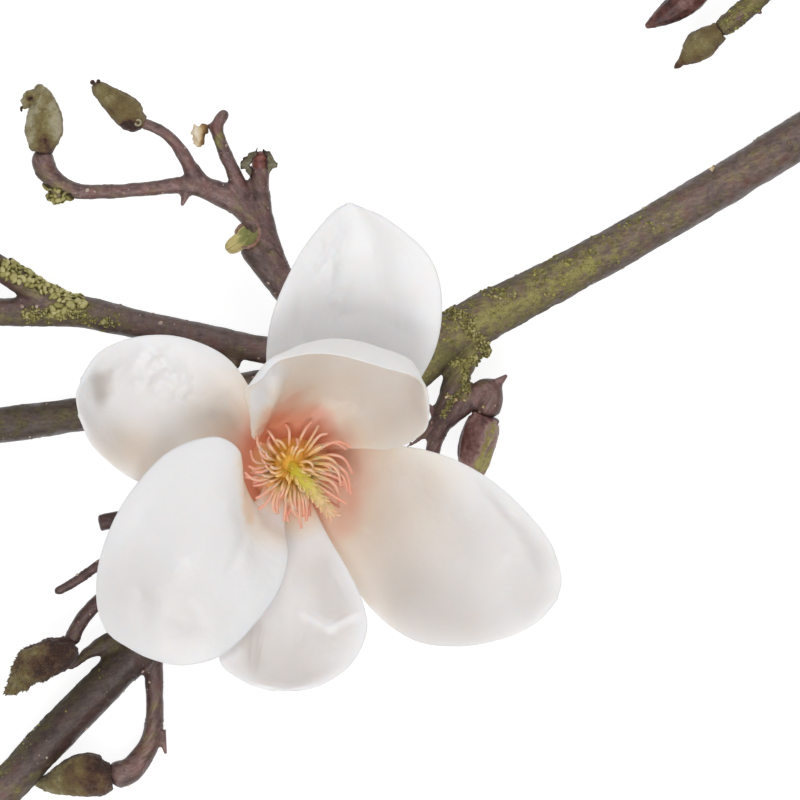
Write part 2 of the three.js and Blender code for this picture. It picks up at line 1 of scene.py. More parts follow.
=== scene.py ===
"""A cut magnolia branch with one open flower and seven buds, lying on a pale studio floor.

Lengths are in millimetres until a shape becomes a Blender mesh, which is in metres. Points are
[x, y, z] from the surface under the middle of the flower, with +X along the branch towards its
thick cut end and +Z up. A limb's points carry its radius as a fourth value. bloom_origin says
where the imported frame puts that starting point, and every mesh is moved there as it is made.
"""

import itertools
import logging
import math
from collections.abc import Sequence
from dataclasses import dataclass, field
from enum import Enum

import bpy
import numpy as np
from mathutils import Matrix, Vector
from mathutils.kdtree import KDTree


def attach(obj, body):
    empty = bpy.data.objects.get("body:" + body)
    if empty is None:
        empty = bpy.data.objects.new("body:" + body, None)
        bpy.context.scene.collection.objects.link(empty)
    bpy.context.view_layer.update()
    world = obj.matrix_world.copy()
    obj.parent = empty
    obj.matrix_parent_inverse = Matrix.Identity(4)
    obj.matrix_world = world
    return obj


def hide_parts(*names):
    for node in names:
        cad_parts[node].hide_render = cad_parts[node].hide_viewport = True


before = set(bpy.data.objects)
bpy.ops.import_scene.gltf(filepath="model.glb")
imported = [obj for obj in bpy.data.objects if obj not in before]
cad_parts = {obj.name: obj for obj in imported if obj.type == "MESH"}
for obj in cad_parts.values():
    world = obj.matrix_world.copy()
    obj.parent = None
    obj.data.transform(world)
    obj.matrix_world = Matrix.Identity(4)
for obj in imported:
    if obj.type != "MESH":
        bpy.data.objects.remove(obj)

LOG = logging.getLogger("magnolia")
Array = np.ndarray
Route = tuple[tuple[float, ...], ...]

MM = 0.001
BODY = "root"
FLOWER_CENTRE = (-3.0, 3.0, 21.0)  # top of the flower's short stalk
CORE_RADIUS = 4.0  # the core that the tepals and stamens stand on
CLEARANCE = 0.35  # between two solids of the frame that meet
FLUSH_CENTRE = (-4.0, 3.0)  # middle of the flushed heart, seen from above
GOLDEN_ANGLE = math.pi * (3 - math.sqrt(5))


# ------------------------------------------------------------------ curves and surfaces


class Curve:
    """A smooth curve through points of any number of values each."""

    def __init__(self, points: Array, even: bool = False) -> None:
        """Args:
            points: One row for each point that the curve passes through.
            even: True spaces the points alike, False spaces them by the root of their distance.
        """
        self.points = np.asarray(points, float)
        self.even = even

    def at(self, share: Array) -> Array:
        """Finds points of the curve.

        Args:
            share: Places along the curve, from 0 at its first point to 1 at its last.

        Returns:
            One row of values for each place.
        """
        last = len(self.points) - 1
        place = np.clip(np.atleast_1d(share), 0, 1) * last
        index = np.minimum(place.astype(int), last - 1)
        part = (place - index)[:, None]
        first = 2 * self.points[0] - self.points[1]
        after = 2 * self.points[-1] - self.points[-2]
        padded = np.vstack([first, self.points, after])
        p0, p1, p2, p3 = (padded[index + k] for k in range(4))
        if self.even:
            start, end = (p2 - p0) / 2, (p3 - p1) / 2
        else:
            d0, d1, d2 = (self._root(a, b) for a, b in ((p0, p1), (p1, p2), (p2, p3)))
            start = ((p1 - p0) / d0 - (p2 - p0) / (d0 + d1) + (p2 - p1) / d1) * d1
            end = ((p2 - p1) / d1 - (p3 - p1) / (d1 + d2) + (p3 - p2) / d2) * d1
        square, cube = part**2, part**3
        return (
            (2 * cube - 3 * square + 1) * p1
            + (cube - 2 * square + part) * start
            + (3 * square - 2 * cube) * p2
            + (cube - square) * end
        )

    @staticmethod
    def _root(a: Array, b: Array) -> Array:
        """The square root of the distance between two rows of points."""
        return np.maximum(np.linalg.norm((b - a)[:, :3], axis=1), 1e-4)[:, None] ** 0.5


def net_surface(rows: Array, across: Array, along: Array) -> Array:
    """Lays a smooth surface through a net of points.

    Args:
        rows: The net, as rows by columns by x, y and z.
        across: Places across the rows, from 0 to 1.
        along: Places from the first row to the last, from 0 to 1.

    Returns:
        Points of the surface, as along by across by x, y and z.
    """
    lengthwise = Curve(np.eye(rows.shape[0]), even=True).at(along)
    crosswise = Curve(np.eye(rows.shape[1]), even=True).at(across)
    return np.einsum("vr,rcx,uc->vux", lengthwise, rows, crosswise)


def lattice_noise(points: Array, size: float, seed: int) -> Array:
    """Smooth noise in space.

    Args:
        points: One row of x, y and z for each place.
        size: Rough distance between two lumps.
        seed: Picks one of many such noises.

    Returns:
        A number from -1 to 1 for each place.
    """
    place = points / size + seed * 17.17
    cell = np.floor(place).astype(np.int64)
    share = place - cell
    share = share * share * (3 - 2 * share)
    total = np.zeros(len(points))
    for corner in itertools.product((0, 1), repeat=3):
        code = (cell + corner) @ np.array([73856093, 19349663, 83492791])
        code = (code ^ (code >> 13)) * 1274126177
        value = ((code ^ (code >> 16)) & 0xFFFF) / 32767.5 - 1
        total += value * np.prod(np.where(corner, share, 1 - share), axis=1)
    return total


def smooth_step(value: Array, low: float, high: float) -> Array:
    """Rises smoothly from 0 where value is low to 1 where it is high."""
    share = np.clip((value - low) / (high - low), 0, 1)
    return share * share * (3 - 2 * share)


def segment_distance(points: Array, start: Sequence[float], end: Sequence[float]) -> Array:
    """Measures how far points lie from a straight segment, seen from above.

    Args:
        points: The points.
        start: One end of the segment.
        end: Its other end.

    Returns:
        The distance of each point.
    """
    a, b = np.array(start[:2], float), np.array(end[:2], float)
    line = b - a
    share = np.clip((points[:, :2] - a) @ line / max(line @ line, 1e-9), 0, 1)
    return np.linalg.norm(points[:, :2] - a - share[:, None] * line, axis=1)


def unit(vectors: Array) -> Array:
    """The vectors at length 1, along the last axis."""
    return vectors / np.maximum(np.linalg.norm(vectors, axis=-1, keepdims=True), 1e-9)


# ------------------------------------------------------------------ shapes


@dataclass
class Shape:
    """A mesh in the making: points, triangles, and named marks that a finish reads."""

    points: Array
    faces: Array
    marks: dict[str, Array] = field(default_factory=dict)

    def normals(self) -> Array:
        """Finds which way the skin faces.

        Returns:
            The outward direction at each point.
        """
        a, b, c = (self.points[self.faces[:, k]] for k in range(3))
        flat = np.cross(b - a, c - a)
        total = np.zeros_like(self.points)
        for k in range(3):
            np.add.at(total, self.faces[:, k], flat)
        return total / np.maximum(np.linalg.norm(total, axis=1), 1e-12)[:, None]


def join(shapes: Sequence[Shape]) -> Shape:
    """Puts several shapes into one. A mark that a shape lacks is 0 on it.

    Args:
        shapes: The shapes.

    Returns:
        The one shape.
    """
    names = sorted({name for shape in shapes for name in shape.marks})
    sizes = {name: next(s.marks[name].shape[1:] for s in shapes if name in s.marks) for name in names}
    starts = np.cumsum([0] + [len(shape.points) for shape in shapes])
    faces = [shape.faces + start for shape, start in zip(shapes, starts)]
    marks = {
        name: np.concatenate(
            [s.marks.get(name, np.zeros((len(s.points), *sizes[name]))) for s in shapes]
        )
        for name in names
    }
    return Shape(np.vstack([shape.points for shape in shapes]), np.vstack(faces), marks)


def sweep(route: Array, sides: int, step: float, round_start: bool, round_end: bool) -> Shape:
    """Makes a closed tube along a smooth curve.

    Args:
        route: Points of x, y, z and radius.
        sides: Points round each ring.
        step: Distance between two rings.
        round_start: Closes the start with a dome in place of a flat cut.
        round_end: Closes the end in the same way.

    Returns:
        The tube, marked with its length so far as along, its angle as turn and its radius as girth.
    """
    dense = Curve(route).at(np.linspace(0, 1, 60 * len(route)))
    gone = np.concatenate([[0], np.cumsum(np.linalg.norm(np.diff(dense[:, :3], axis=0), axis=1))])
    total = gone[-1]
    places = np.linspace(0, total, max(3, round(total / step)) + 1)
    dome = 1 - np.cos(np.linspace(0, math.pi / 2, 7))
    if round_start:
        places = np.concatenate([dome * dense[0, 3], places[places > dense[0, 3]]])
    if round_end:
        before = places[places < total - dense[-1, 3]]
        places = np.concatenate([before, total - dome[::-1] * dense[-1, 3]])
    rings = np.stack([np.interp(places, gone, dense[:, k]) for k in range(4)], axis=1)
    radius = rings[:, 3].copy()
    if round_start:
        inside = np.clip(1 - places / dense[0, 3], 0, 1)
        radius *= np.sqrt(np.maximum(1 - inside**2, 0.0004))
    if round_end:
        inside = np.clip(1 - (total - places) / dense[-1, 3], 0, 1)
        radius *= np.sqrt(np.maximum(1 - inside**2, 0.0004))
    tangents = unit(np.gradient(rings[:, :3], axis=0))
    side = np.cross(tangents[0], (0.0, 0.0, 1.0) if abs(tangents[0][2]) < 0.9 else (1.0, 0.0, 0.0))
    turns = np.arange(sides) / sides * 2 * math.pi
    points = []
    for centre, tangent, reach in zip(rings[:, :3], tangents, radius):
        side = side - tangent * (side @ tangent)
        side /= np.linalg.norm(side)
        other = np.cross(tangent, side)
        spokes = np.cos(turns)[:, None] * side + np.sin(turns)[:, None] * other
        points.append(centre + reach * spokes)
    count = len(places)
    ring, index = np.meshgrid(np.arange(count - 1), np.arange(sides), indexing="ij")
    a = (ring * sides + index).ravel()
    b = (ring * sides + (index + 1) % sides).ravel()
    faces = np.vstack([np.stack([a, b, b + sides], 1), np.stack([a, b + sides, a + sides], 1)])
    around = np.arange(sides)
    after = (around + 1) % sides
    first = count * sides
    top = first - sides
    caps = [
        np.stack([np.full(sides, first), after, around], 1),
        np.stack([np.full(sides, first + 1), around + top, after + top], 1),
    ]
    cloud = np.vstack([*points, rings[:1, :3], rings[-1:, :3]])
    marks = {
        "along": np.concatenate([np.repeat(places, sides), places[[0, -1]]]),
        "turn": np.concatenate([np.tile(turns, count), [0, 0]]),
        "girth": np.concatenate([np.repeat(rings[:, 3], sides), rings[[0, -1], 3]]),
    }
    return Shape(cloud, np.vstack([faces, *caps]), marks)


def grid_faces(rows: int, columns: int) -> Array:
    """Makes the triangles between the points of a grid.

    Args:
        rows: How many rows it has.
        columns: Points in each row.

    Returns:
        The triangles, row by row.
    """
    row, column = np.meshgrid(np.arange(rows - 1), np.arange(columns - 1), indexing="ij")
    a = (row * columns + column).ravel()
    b, c, d = a + 1, a + columns + 1, a + columns
    return np.vstack([np.stack([a, b, c], 1), np.stack([a, c, d], 1)])


def sheet_between(upper: Array, lower: Array, marks: dict[str, tuple[Array, Array]]) -> Shape:
    """Closes two grids of points into one thin solid.

    Args:
        upper: The face on the side that the columns' direction crossed with the rows' points to.
        lower: The other face.
        marks: For each mark's name, its grids on the upper and the lower face.

    Returns:
        The closed shape.
    """
    rows, columns = upper.shape[:2]
    flat = grid_faces(rows, columns)
    under = rows * columns
    index = np.arange(under).reshape(rows, columns)
    rim = np.concatenate([index[0, :-1], index[:-1, -1], index[-1, :0:-1], index[:0:-1, 0]])
    after = np.roll(rim, -1)
    edge = np.vstack([
        np.stack([rim, rim + under, after + under], 1),
        np.stack([rim, after + under, after], 1),
    ])
    points = np.vstack([upper.reshape(-1, 3), lower.reshape(-1, 3)])
    faces = np.vstack([flat, flat[:, ::-1] + under, edge])
    joined = {name: np.concatenate([a.ravel(), b.ravel()]) for name, (a, b) in marks.items()}
    return Shape(points, faces, joined)


def ball(level: int) -> Shape:
    """Makes a ball of radius 1 of even triangles.

    Args:
        level: How many times its triangles are split.

    Returns:
        The ball.
    """
    gold = (1 + math.sqrt(5)) / 2
    signs = list(itertools.product((-1, 1), repeat=2))
    points = [p for a, b in signs for p in ((0, a, b * gold), (a, b * gold, 0), (a * gold, 0, b))]
    points = np.array(points, float)
    faces = []
    for a, b, c in itertools.combinations(range(len(points)), 3):
        pairs = itertools.combinations((a, b, c), 2)
        if all(np.linalg.norm(points[i] - points[j]) < 2.1 for i, j in pairs):
            outward = np.cross(points[b] - points[a], points[c] - points[a]) @ points[a] > 0
            faces.append((a, b, c) if outward else (a, c, b))
    for _ in range(level):
        middles: dict[tuple[int, int], int] = {}
        cloud = list(points)
        split = []
        for trio in faces:
            mids = []
            for i, j in ((0, 1), (1, 2), (2, 0)):
                key = tuple(sorted((trio[i], trio[j])))
                if key not in middles:
                    middles[key] = len(cloud)
                    cloud.append((cloud[key[0]] + cloud[key[1]]) / 2)
                mids.append(middles[key])
            a, b, c = trio
            split += [(a, mids[0], mids[2]), (b, mids[1], mids[0]), (c, mids[2], mids[1]), tuple(mids)]
        points, faces = np.array(cloud), split
    return Shape(points / np.linalg.norm(points, axis=1)[:, None], np.array(faces))


def planted(
    base: Shape, places: Array, normals: Array, sizes: Array, turns: Array, roughness: float = 0.0,
) -> Shape:
    """Sets copies of a small shape on a surface.

    Args:
        base: The shape to copy, with its own Z up.
        places: Where each copy stands.
        normals: Which way each copy points.
        sizes: Its half width, half depth and half height.
        turns: Its turn about its normal.
        roughness: How far each point may be moved by noise, as a share of its size.

    Returns:
        The copies as one shape, marked with a random tone for each copy.
    """
    count = len(places)
    lead = np.where(np.abs(normals[:, 2:]) < 0.9, (0.0, 0.0, 1.0), (1.0, 0.0, 0.0))
    side = unit(np.cross(lead, normals))
    other = np.cross(normals, side)
    c, s = np.cos(turns)[:, None], np.sin(turns)[:, None]
    axes = np.stack([c * side + s * other, c * other - s * side, normals], axis=1)
    local = base.points[None] * sizes[:, None, :]
    cloud = np.einsum("nki,nij->nkj", local, axes) + places[:, None, :]
    if roughness:
        flat = cloud.reshape(-1, 3)
        push = lattice_noise(flat, 1.1, 5) * roughness
        cloud = cloud + (cloud - places[:, None, :]) * push.reshape(count, -1, 1)
    faces = base.faces[None] + (np.arange(count) * len(base.points))[:, None, None]
    tone = np.repeat(np.random.default_rng(11).random(count), len(base.points))
    height = np.tile(base.points[:, 2], count)
    return Shape(cloud.reshape(-1, 3), faces.reshape(-1, 3), {"tone": tone, "height": height})


def surface_spots(shape: Shape, weight: Array, spacing: float, tries: int, seed: int) -> Array:
    """Picks points of a shape at random, none too close to another.

    Args:
        shape: The shape to pick from.
        weight: How likely each point is to be kept, from 0 to 1.
        spacing: The least distance between two picked points.
        tries: How many points are drawn.
        seed: Seeds the draw.

    Returns:
        The indices of the picked points.
    """
    random = np.random.default_rng(seed)
    candidates = np.flatnonzero(weight > 0.01)
    drawn = random.permutation(candidates)[:tries]
    drawn = drawn[random.random(len(drawn)) < weight[drawn]]
    taken: dict[tuple[int, int, int], list[int]] = {}
    kept = []
    for index in drawn:
        place = shape.points[index]
        cell = tuple(np.floor(place / spacing).astype(int))
        near = itertools.product(*(range(k - 1, k + 2) for k in cell))
        close = (other for key in near for other in taken.get(key, ()))
        if all(np.linalg.norm(shape.points[other] - place) >= spacing for other in close):
            taken.setdefault(cell, []).append(index)
            kept.append(index)
    return np.array(kept, int)


def bloom_origin() -> Array:
    """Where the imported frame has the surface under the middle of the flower.

    Returns:
        The place in millimetres, worked out from the flat foot of the pistil.
    """
    points = np.array([vertex.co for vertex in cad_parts["pistil"].data.vertices]) / MM
    foot = points[points[:, 2] < points[:, 2].min() + 0.1].mean(axis=0)
    return foot - np.array(FLOWER_CENTRE) - (0, 0, CLEARANCE)


ORIGIN = bloom_origin()


def add_object(name: str, data: bpy.types.ID) -> bpy.types.Object:
    """Puts a mesh, a lamp or a camera into the scene.

    Args:
        name: Its name.
        data: The mesh, lamp or camera.

    Returns:
        Its object.
    """
    thing = bpy.data.objects.new(name, data)
    bpy.context.scene.collection.objects.link(thing)
    return thing


def add_piece(
    name: str, shape: Shape, finish: bpy.types.Material, replaces: Sequence[str] = (),
) -> bpy.types.Object:
    """Turns a shape into a piece of the branch.

    Args:
        name: The piece's name.
        shape: Its shape, in millimetres from the surface under the flower.
        finish: Its material.
        replaces: The frame's nodes that it stands for.

    Returns:
        The new object, in place and riding on the branch.
    """
    mesh = bpy.data.meshes.new(name)
    points = shape.points + ORIGIN
    points[:, 2] = np.maximum(points[:, 2], 0)
    mesh.from_pydata((points * MM).tolist(), [], shape.faces.tolist())
    mesh.shade_smooth()
    for key, values in shape.marks.items():
        kind = "FLOAT_VECTOR" if values.ndim > 1 else "FLOAT"
        data = mesh.attributes.new(key, kind, "POINT").data
        data.foreach_set("vector" if values.ndim > 1 else "value", values.astype(np.float32).ravel())
    mesh.materials.append(finish)
    piece = add_object(name, mesh)
    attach(piece, BODY)
    if replaces:
        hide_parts(*replaces)
    LOG.info("%s: %d triangles, stands for %s", name, len(shape.faces), ", ".join(replaces) or "nothing")
    return piece


# ------------------------------------------------------------------ finishes


def linear(code: str) -> tuple[float, float, float, float]:
    """Turns an sRGB hex colour such as "#5b4a48" into linear red, green, blue and alpha."""
    values = (int(code[k:k + 2], 16) / 255 for k in (1, 3, 5))
    return (*(v / 12.92 if v <= 0.04045 else ((v + 0.055) / 1.055) ** 2.4 for v in values), 1.0)


def per(size: float) -> float:
    """The scale of a texture whose lumps are this many millimetres apart."""
    return 1 / (size * MM)


def feed(
    tree: bpy.types.NodeTree, source: bpy.types.NodeSocket | bpy.types.Node, into: bpy.types.NodeSocket,
) -> None:
    """Links a socket, or a node's first output, into an input."""
    tree.links.new(source.outputs[0] if isinstance(source, bpy.types.Node) else source, into)


def add_node(
    tree: bpy.types.NodeTree, kind: str, settings: dict | None = None, links: dict | None = None,
) -> bpy.types.Node:
    """Adds a node with its settings and links.

    Args:
        tree: The material's node tree.
        kind: The node's type, without the ShaderNode that it starts with.
        settings: Properties by name, inputs by name or number, and a colour ramp's stops.
        links: What feeds each input, by the input's name or number: a socket, or a node for its
            first output.

    Returns:
        The new node.
    """
    node = tree.nodes.new("ShaderNode" + kind)
    for name, value in (settings or {}).items():
        if name == "stops":
            elements = node.color_ramp.elements
            elements[0].position, elements[-1].position = value[0][0], value[-1][0]
            elements[0].color, elements[-1].color = linear(value[0][1]), linear(value[-1][1])
            for place, code in value[1:-1]:
                elements.new(place).color = linear(code)
        elif isinstance(name, str) and hasattr(node, name):
            setattr(node, name, value)
        else:
            node.inputs[name].default_value = value
    for name, source in (links or {}).items():
        feed(tree, source, node.inputs[name])
    return node


def start_material(name: str) -> tuple[bpy.types.Material, bpy.types.NodeTree, bpy.types.Node]:
    """Starts a material.

    Args:
        name: Its name.

    Returns:
        The material, its node tree and its Principled shader.
    """
    material = bpy.data.materials.new(name)
    material.use_nodes = True
    return material, material.node_tree, material.node_tree.nodes["Principled BSDF"]


def set_shader(tree: bpy.types.NodeTree, shader: bpy.types.Node, values: dict, links: dict) -> None:
    """Sets the shader's own sockets and feeds those that vary over the surface."""
    for name, value in values.items():
        shader.inputs[name].default_value = value
    for name, source in links.items():
        feed(tree, source, shader.inputs[name])


@dataclass(frozen=True)
class TepalFinish:
    """Magnolia tepal, grown: waxy white flesh that light soaks into, flushed towards its foot.

    The wax gives a broad soft gloss, broken by blisters of 3 mm and by veins that run lengthwise.
    """

    name: str = "magnolia_tepal_waxy"
    stops: tuple[tuple[float, str], ...] = (
        (0.0, "#f5f4f5"), (0.2, "#f4ede5"), (0.42, "#f1dfcc"), (0.62, "#eec4ab"), (0.82, "#eaa789"),
        (1.0, "#e28d68"),
    )
    # a grey beige, partly the flesh's own beige and partly painted shade in hollows, gullies and under
    # the hood
    bruise: str = "#aba298"
    vein_spacing: float = 1.3
    blister: float = 3.2
    cloud: float = 9.0

    def make(self) -> bpy.types.Material:
        """Builds the material from the blush and vein marks and from a mark of grey beige, which is
        partly the flesh's own beige and partly painted shade.

        Returns:
            The material.
        """
        material, tree, shader = start_material(self.name)
        blush, bruise, vein = (
            add_node(tree, "Attribute", {"attribute_name": mark}) for mark in ("blush", "bruise", "vein")
        )
        place = {"Vector": add_node(tree, "TexCoord").outputs["Object"]}
        cloud = add_node(tree, "TexNoise", {"Scale": per(self.cloud), "Detail": 3.0}, place)
        shift = add_node(tree, "MapRange", {"To Min": -0.06, "To Max": 0.06}, {"Value": cloud})
        flushed = add_node(
            tree, "Math", {"operation": "ADD", "use_clamp": True}, {0: blush.outputs["Fac"], 1: shift},
        )
        ramp = add_node(tree, "ValToRGB", {"stops": self.stops}, {"Fac": flushed})
        beige_and_shade = add_node(
            tree, "Mix", {"data_type": "RGBA", 7: linear(self.bruise)},
            {0: bruise.outputs["Fac"], 6: ramp},
        )
        lines = add_node(
            tree, "TexNoise", {"Scale": 1 / self.vein_spacing, "Detail": 2.0, "Roughness": 0.55},
            {"Vector": vein.outputs["Vector"]},
        )
        blisters = add_node(
            tree, "TexNoise", {"Scale": per(self.blister), "Detail": 2.0, "Distortion": 0.4}, place,
        )
        raised = add_node(tree, "Bump", {"Strength": 0.6, "Distance": 0.3 * MM}, {"Height": blisters})
        lined = add_node(
            tree, "Bump", {"Strength": 0.35, "Distance": 0.18 * MM}, {"Height": lines, "Normal": raised},
        )
        gloss = add_node(tree, "MapRange", {"To Min": 0.27, "To Max": 0.42}, {"Value": cloud})
        set_shader(
            tree, shader,
            {
                "IOR": 1.45, "Subsurface Weight": 0.45, "Subsurface Radius": (1.0, 0.75, 0.6),
                "Subsurface Scale": 1.6 * MM,
            },
            {"Base Color": beige_and_shade.outputs[2], "Roughness": gloss, "Normal": lined},
        )
        return material


@dataclass(frozen=True)
class BarkFinish:
    """Magnolia bark, grown: thin smooth skin over wood, with a film of dust-like green algae.

    Young twigs are a reddish purple brown with a dull shine. Thick stems have weathered grey.
    """

    name: str = "magnolia_bark_weathered"
    young: tuple[str, str] = ("#54332f", "#ab8a86")
    old: tuple[str, str] = ("#5a4640", "#988279")
    flush: str = "#7b4a3e"
    film: tuple[str, str] = ("#665e3e", "#a2985a")
    crumbs: tuple[str, str] = ("#7f7a45", "#b2ab66")
    deep: str = "#281715"
    speck: str = "#a58f7e"
    crack: str = "#2c211b"
    sawn: str = "#c9b48a"
    streak: float = 1.1
    grit: float = 0.5
    blotch: float = 4.5
    island: float = 3.4
    speck_spacing: float = 1.7

    def make(self) -> bpy.types.Material:
        """Builds the material from the marks grain, age, moss, scar, cut and shade.

        Returns:
            The material.
        """
        material, tree, shader = start_material(self.name)
        grain, age, moss, scar, cut, shade = (
            add_node(tree, "Attribute", {"attribute_name": mark})
            for mark in ("grain", "age", "moss", "scar", "cut", "shade")
        )
        place = {"Vector": add_node(tree, "TexCoord").outputs["Object"]}
        streaks = add_node(
            tree, "TexNoise",
            {"Scale": 1 / self.streak, "Detail": 5.0, "Roughness": 0.6, "Distortion": 0.4},
            {"Vector": grain.outputs["Vector"]},
        )
        grit, blotch, tufts = (
            add_node(tree, "TexNoise", {"Scale": per(size), "Detail": detail, "Roughness": rough}, place)
            for size, detail, rough in (
                (self.grit, 3.0, 0.7), (self.blotch, 4.0, 0.6), (self.island, 6.0, 0.66),
            )
        )
        specks = add_node(
            tree, "TexVoronoi", {"Scale": per(self.speck_spacing), "Randomness": 1.0}, place,
        )
        young, old, dusty, green = (
            add_node(tree, "ValToRGB", {"stops": ((low, tones[0]), (high, tones[1]))}, {"Fac": source})
            for tones, low, high, source in (
                (self.young, 0.24, 0.8, streaks), (self.old, 0.24, 0.8, streaks),
                (self.film, 0.36, 0.68, streaks), (self.crumbs, 0.36, 0.66, grit),
            )
        )
        islands = add_node(tree, "MapRange", {"From Min": 0.28, "From Max": 0.72}, {"Value": tufts})
        reach = add_node(tree, "Math", {"operation": "ADD"}, {0: moss.outputs["Fac"], 1: islands})
        clump = add_node(tree, "Math", {"operation": "ADD"}, {0: reach, 1: grit})
        redness, gloom, speck, film, crumb = (
            add_node(
                tree, "MapRange", {"From Min": none, "From Max": full, "To Max": most},
                {"Value": source},
            )
            for source, none, full, most in (
                (blotch, 0.48, 0.7, 0.62), (blotch, 0.52, 0.3, 0.6), (specks, 0.15, 0.08, 0.45),
                (reach, 0.6, 1.2, 0.9), (clump, 1.5, 2.0, 0.85),
            )
        )
        colour = young.outputs["Color"]
        for amount, over in (  # each lies over those before it
            (age.outputs["Fac"], old), (redness, self.flush), (gloom, self.deep), (speck, self.speck),
            (scar.outputs["Fac"], self.crack), (film, dusty), (crumb, green),
            (shade.outputs["Fac"], self.deep), (cut.outputs["Fac"], self.sawn),
        ):
            plain = {7: linear(over)} if isinstance(over, str) else {}
            varied = {} if plain else {7: over}
            layer = add_node(
                tree, "Mix", {"data_type": "RGBA", **plain}, {0: amount, 6: colour, **varied},
            )
            colour = layer.outputs[2]
        rough = add_node(tree, "MapRange", {"To Min": 0.33, "To Max": 0.85}, {"Value": film})
        fine = add_node(tree, "Bump", {"Strength": 0.6, "Distance": 0.2 * MM}, {"Height": clump})
        coarse = add_node(
            tree, "Bump", {"Strength": 0.6, "Distance": 0.25 * MM}, {"Height": streaks, "Normal": fine},
        )
        set_shader(
            tree, shader, {"IOR": 1.5},
            {"Base Color": colour, "Roughness": rough, "Normal": coarse},
        )
        return material


@dataclass(frozen=True)
class MottledFinish:
    """A grown skin of two or three tones that change with noise and with a mark of the piece.

    It serves lichen, felted and smooth bud scales, filaments, carpels, torn bark and dry scales,
    each by its own tones, lump size and roughness.
    """

    name: str
    stops: tuple[tuple[float, str], ...]
    mark: str
    lump: float
    spread: float = 0.35
    relief: float = 0.15
    roughness: float = 0.8
    soft: float = 0.0
    sheen: float = 0.0

    def make(self) -> bpy.types.Material:
        """Builds the material. Its tone is the mark, shifted by noise of the lump's size.

        Returns:
            The material.
        """
        material, tree, shader = start_material(self.name)
        mark = add_node(tree, "Attribute", {"attribute_name": self.mark})
        lumps = add_node(
            tree, "TexNoise", {"Scale": per(self.lump), "Detail": 4.0, "Roughness": 0.65},
            {"Vector": add_node(tree, "TexCoord").outputs["Object"]},
        )
        shift = add_node(
            tree, "MapRange", {"To Min": -self.spread, "To Max": self.spread}, {"Value": lumps},
        )
        tone = add_node(
            tree, "Math", {"operation": "ADD", "use_clamp": True}, {0: mark.outputs["Fac"], 1: shift},
        )
        ramp = add_node(tree, "ValToRGB", {"stops": self.stops}, {"Fac": tone})
        bump = add_node(tree, "Bump", {"Strength": 0.8, "Distance": self.relief * MM}, {"Height": lumps})
        set_shader(
            tree, shader,
            {
                "Roughness": self.roughness, "IOR": 1.45, "Subsurface Weight": self.soft,
                "Subsurface Radius": (1.0, 0.5, 0.3), "Subsurface Scale": 0.6 * MM,
                "Sheen Weight": self.sheen, "Sheen Roughness": 0.5,
            },
            {"Base Color": ramp, "Normal": bump},
        )
        return material


# Foliose lichen, grown: dry leathery lobes, paler on their raised rims and dark between them.
LICHEN = MottledFinish(
    "lichen_crust_dry", ((0.0, "#332c17"), (0.3, "#6d6537"), (0.62, "#9b9458"), (1.0, "#c2ba84")),
    mark="height", lump=0.8, spread=0.22, relief=0.25, roughness=0.95,
)
# Powdery green algae in small heaps, matt all over.
ALGAE = MottledFinish(
    "bark_algae_powdery", ((0.0, "#6a6438"), (0.5, "#8d8748"), (1.0, "#aea75c")),
    mark="tone", lump=0.6, spread=0.3, relief=0.1, roughness=0.95,
)
# Cork of a lenticel, a pale pore in the bark.
LENTICEL = MottledFinish(
    "bark_lenticel_cork", ((0.0, "#7a5f57"), (0.5, "#a58b7f"), (1.0, "#d0beb0")),
    mark="tone", lump=0.5, spread=0.2, relief=0.05, roughness=0.6,
)
# Bud scale under short felted hair, which turns olive and dusty with age.
FELT = MottledFinish(
    "bud_scale_felted",
    ((0.0, "#3a241d"), (0.22, "#5f4633"), (0.45, "#73613c"), (0.72, "#877b50"), (1.0, "#b3aa8c")),
    mark="tone", lump=0.6, spread=0.34, relief=0.35, roughness=0.95, sheen=0.2,
)
# Smooth bud scale, purple brown with a dull shine and pale pores.
SCALE = MottledFinish(
    "bud_scale_smooth",
    (
        (0.0, "#3c2424"), (0.2, "#633c35"), (0.38, "#825f5a"), (0.62, "#a58882"), (0.8, "#93844a"),
        (1.0, "#aea364"),
    ),
    mark="tone", lump=1.3, spread=0.26, relief=0.12, roughness=0.42,
)
# Stamen filament, grown: fleshy and slightly clear, yellow at its foot and coral at its tip.
FILAMENT = MottledFinish(
    "stamen_filament_fleshy",
    ((0.0, "#e8b53e"), (0.26, "#f4c65c"), (0.5, "#f9d197"), (0.75, "#f8cab0"), (1.0, "#f3b299")),
    mark="tip", lump=1.6, spread=0.08, relief=0.03, roughness=0.32, soft=0.75,
)
# Carpel column, grown: fleshy green yellow that turns peach at its curled tip.
CARPEL = MottledFinish(
    "pistil_carpel_fleshy",
    ((0.0, "#d6b344"), (0.3, "#dccb46"), (0.5, "#e2d565"), (0.72, "#f0cf9a"), (1.0, "#f2b8a2")),
    mark="tip", lump=1.2, spread=0.08, relief=0.04, roughness=0.38, soft=0.35,
)
# Receptacle, the fleshy mound that the stamens stand on: ochre, then peach at its rim.
RECEPTACLE = MottledFinish(
    "flower_receptacle_fleshy", ((0.0, "#f2c048"), (0.4, "#f8bf5c"), (0.75, "#f4ab7b"), (1.0, "#ea9670")),
    mark="rim", lump=1.5, spread=0.1, relief=0.1, roughness=0.5, soft=0.5,
)
# Dry bud scale, papery cream with burnt edges.
PAPER = MottledFinish(
    "bud_scale_dry_papery", ((0.0, "#eadfc8"), (0.35, "#cdb68c"), (0.65, "#94703f"), (1.0, "#4f3622")),
    mark="rim", lump=1.4, spread=0.28, relief=0.12, roughness=0.75,
)
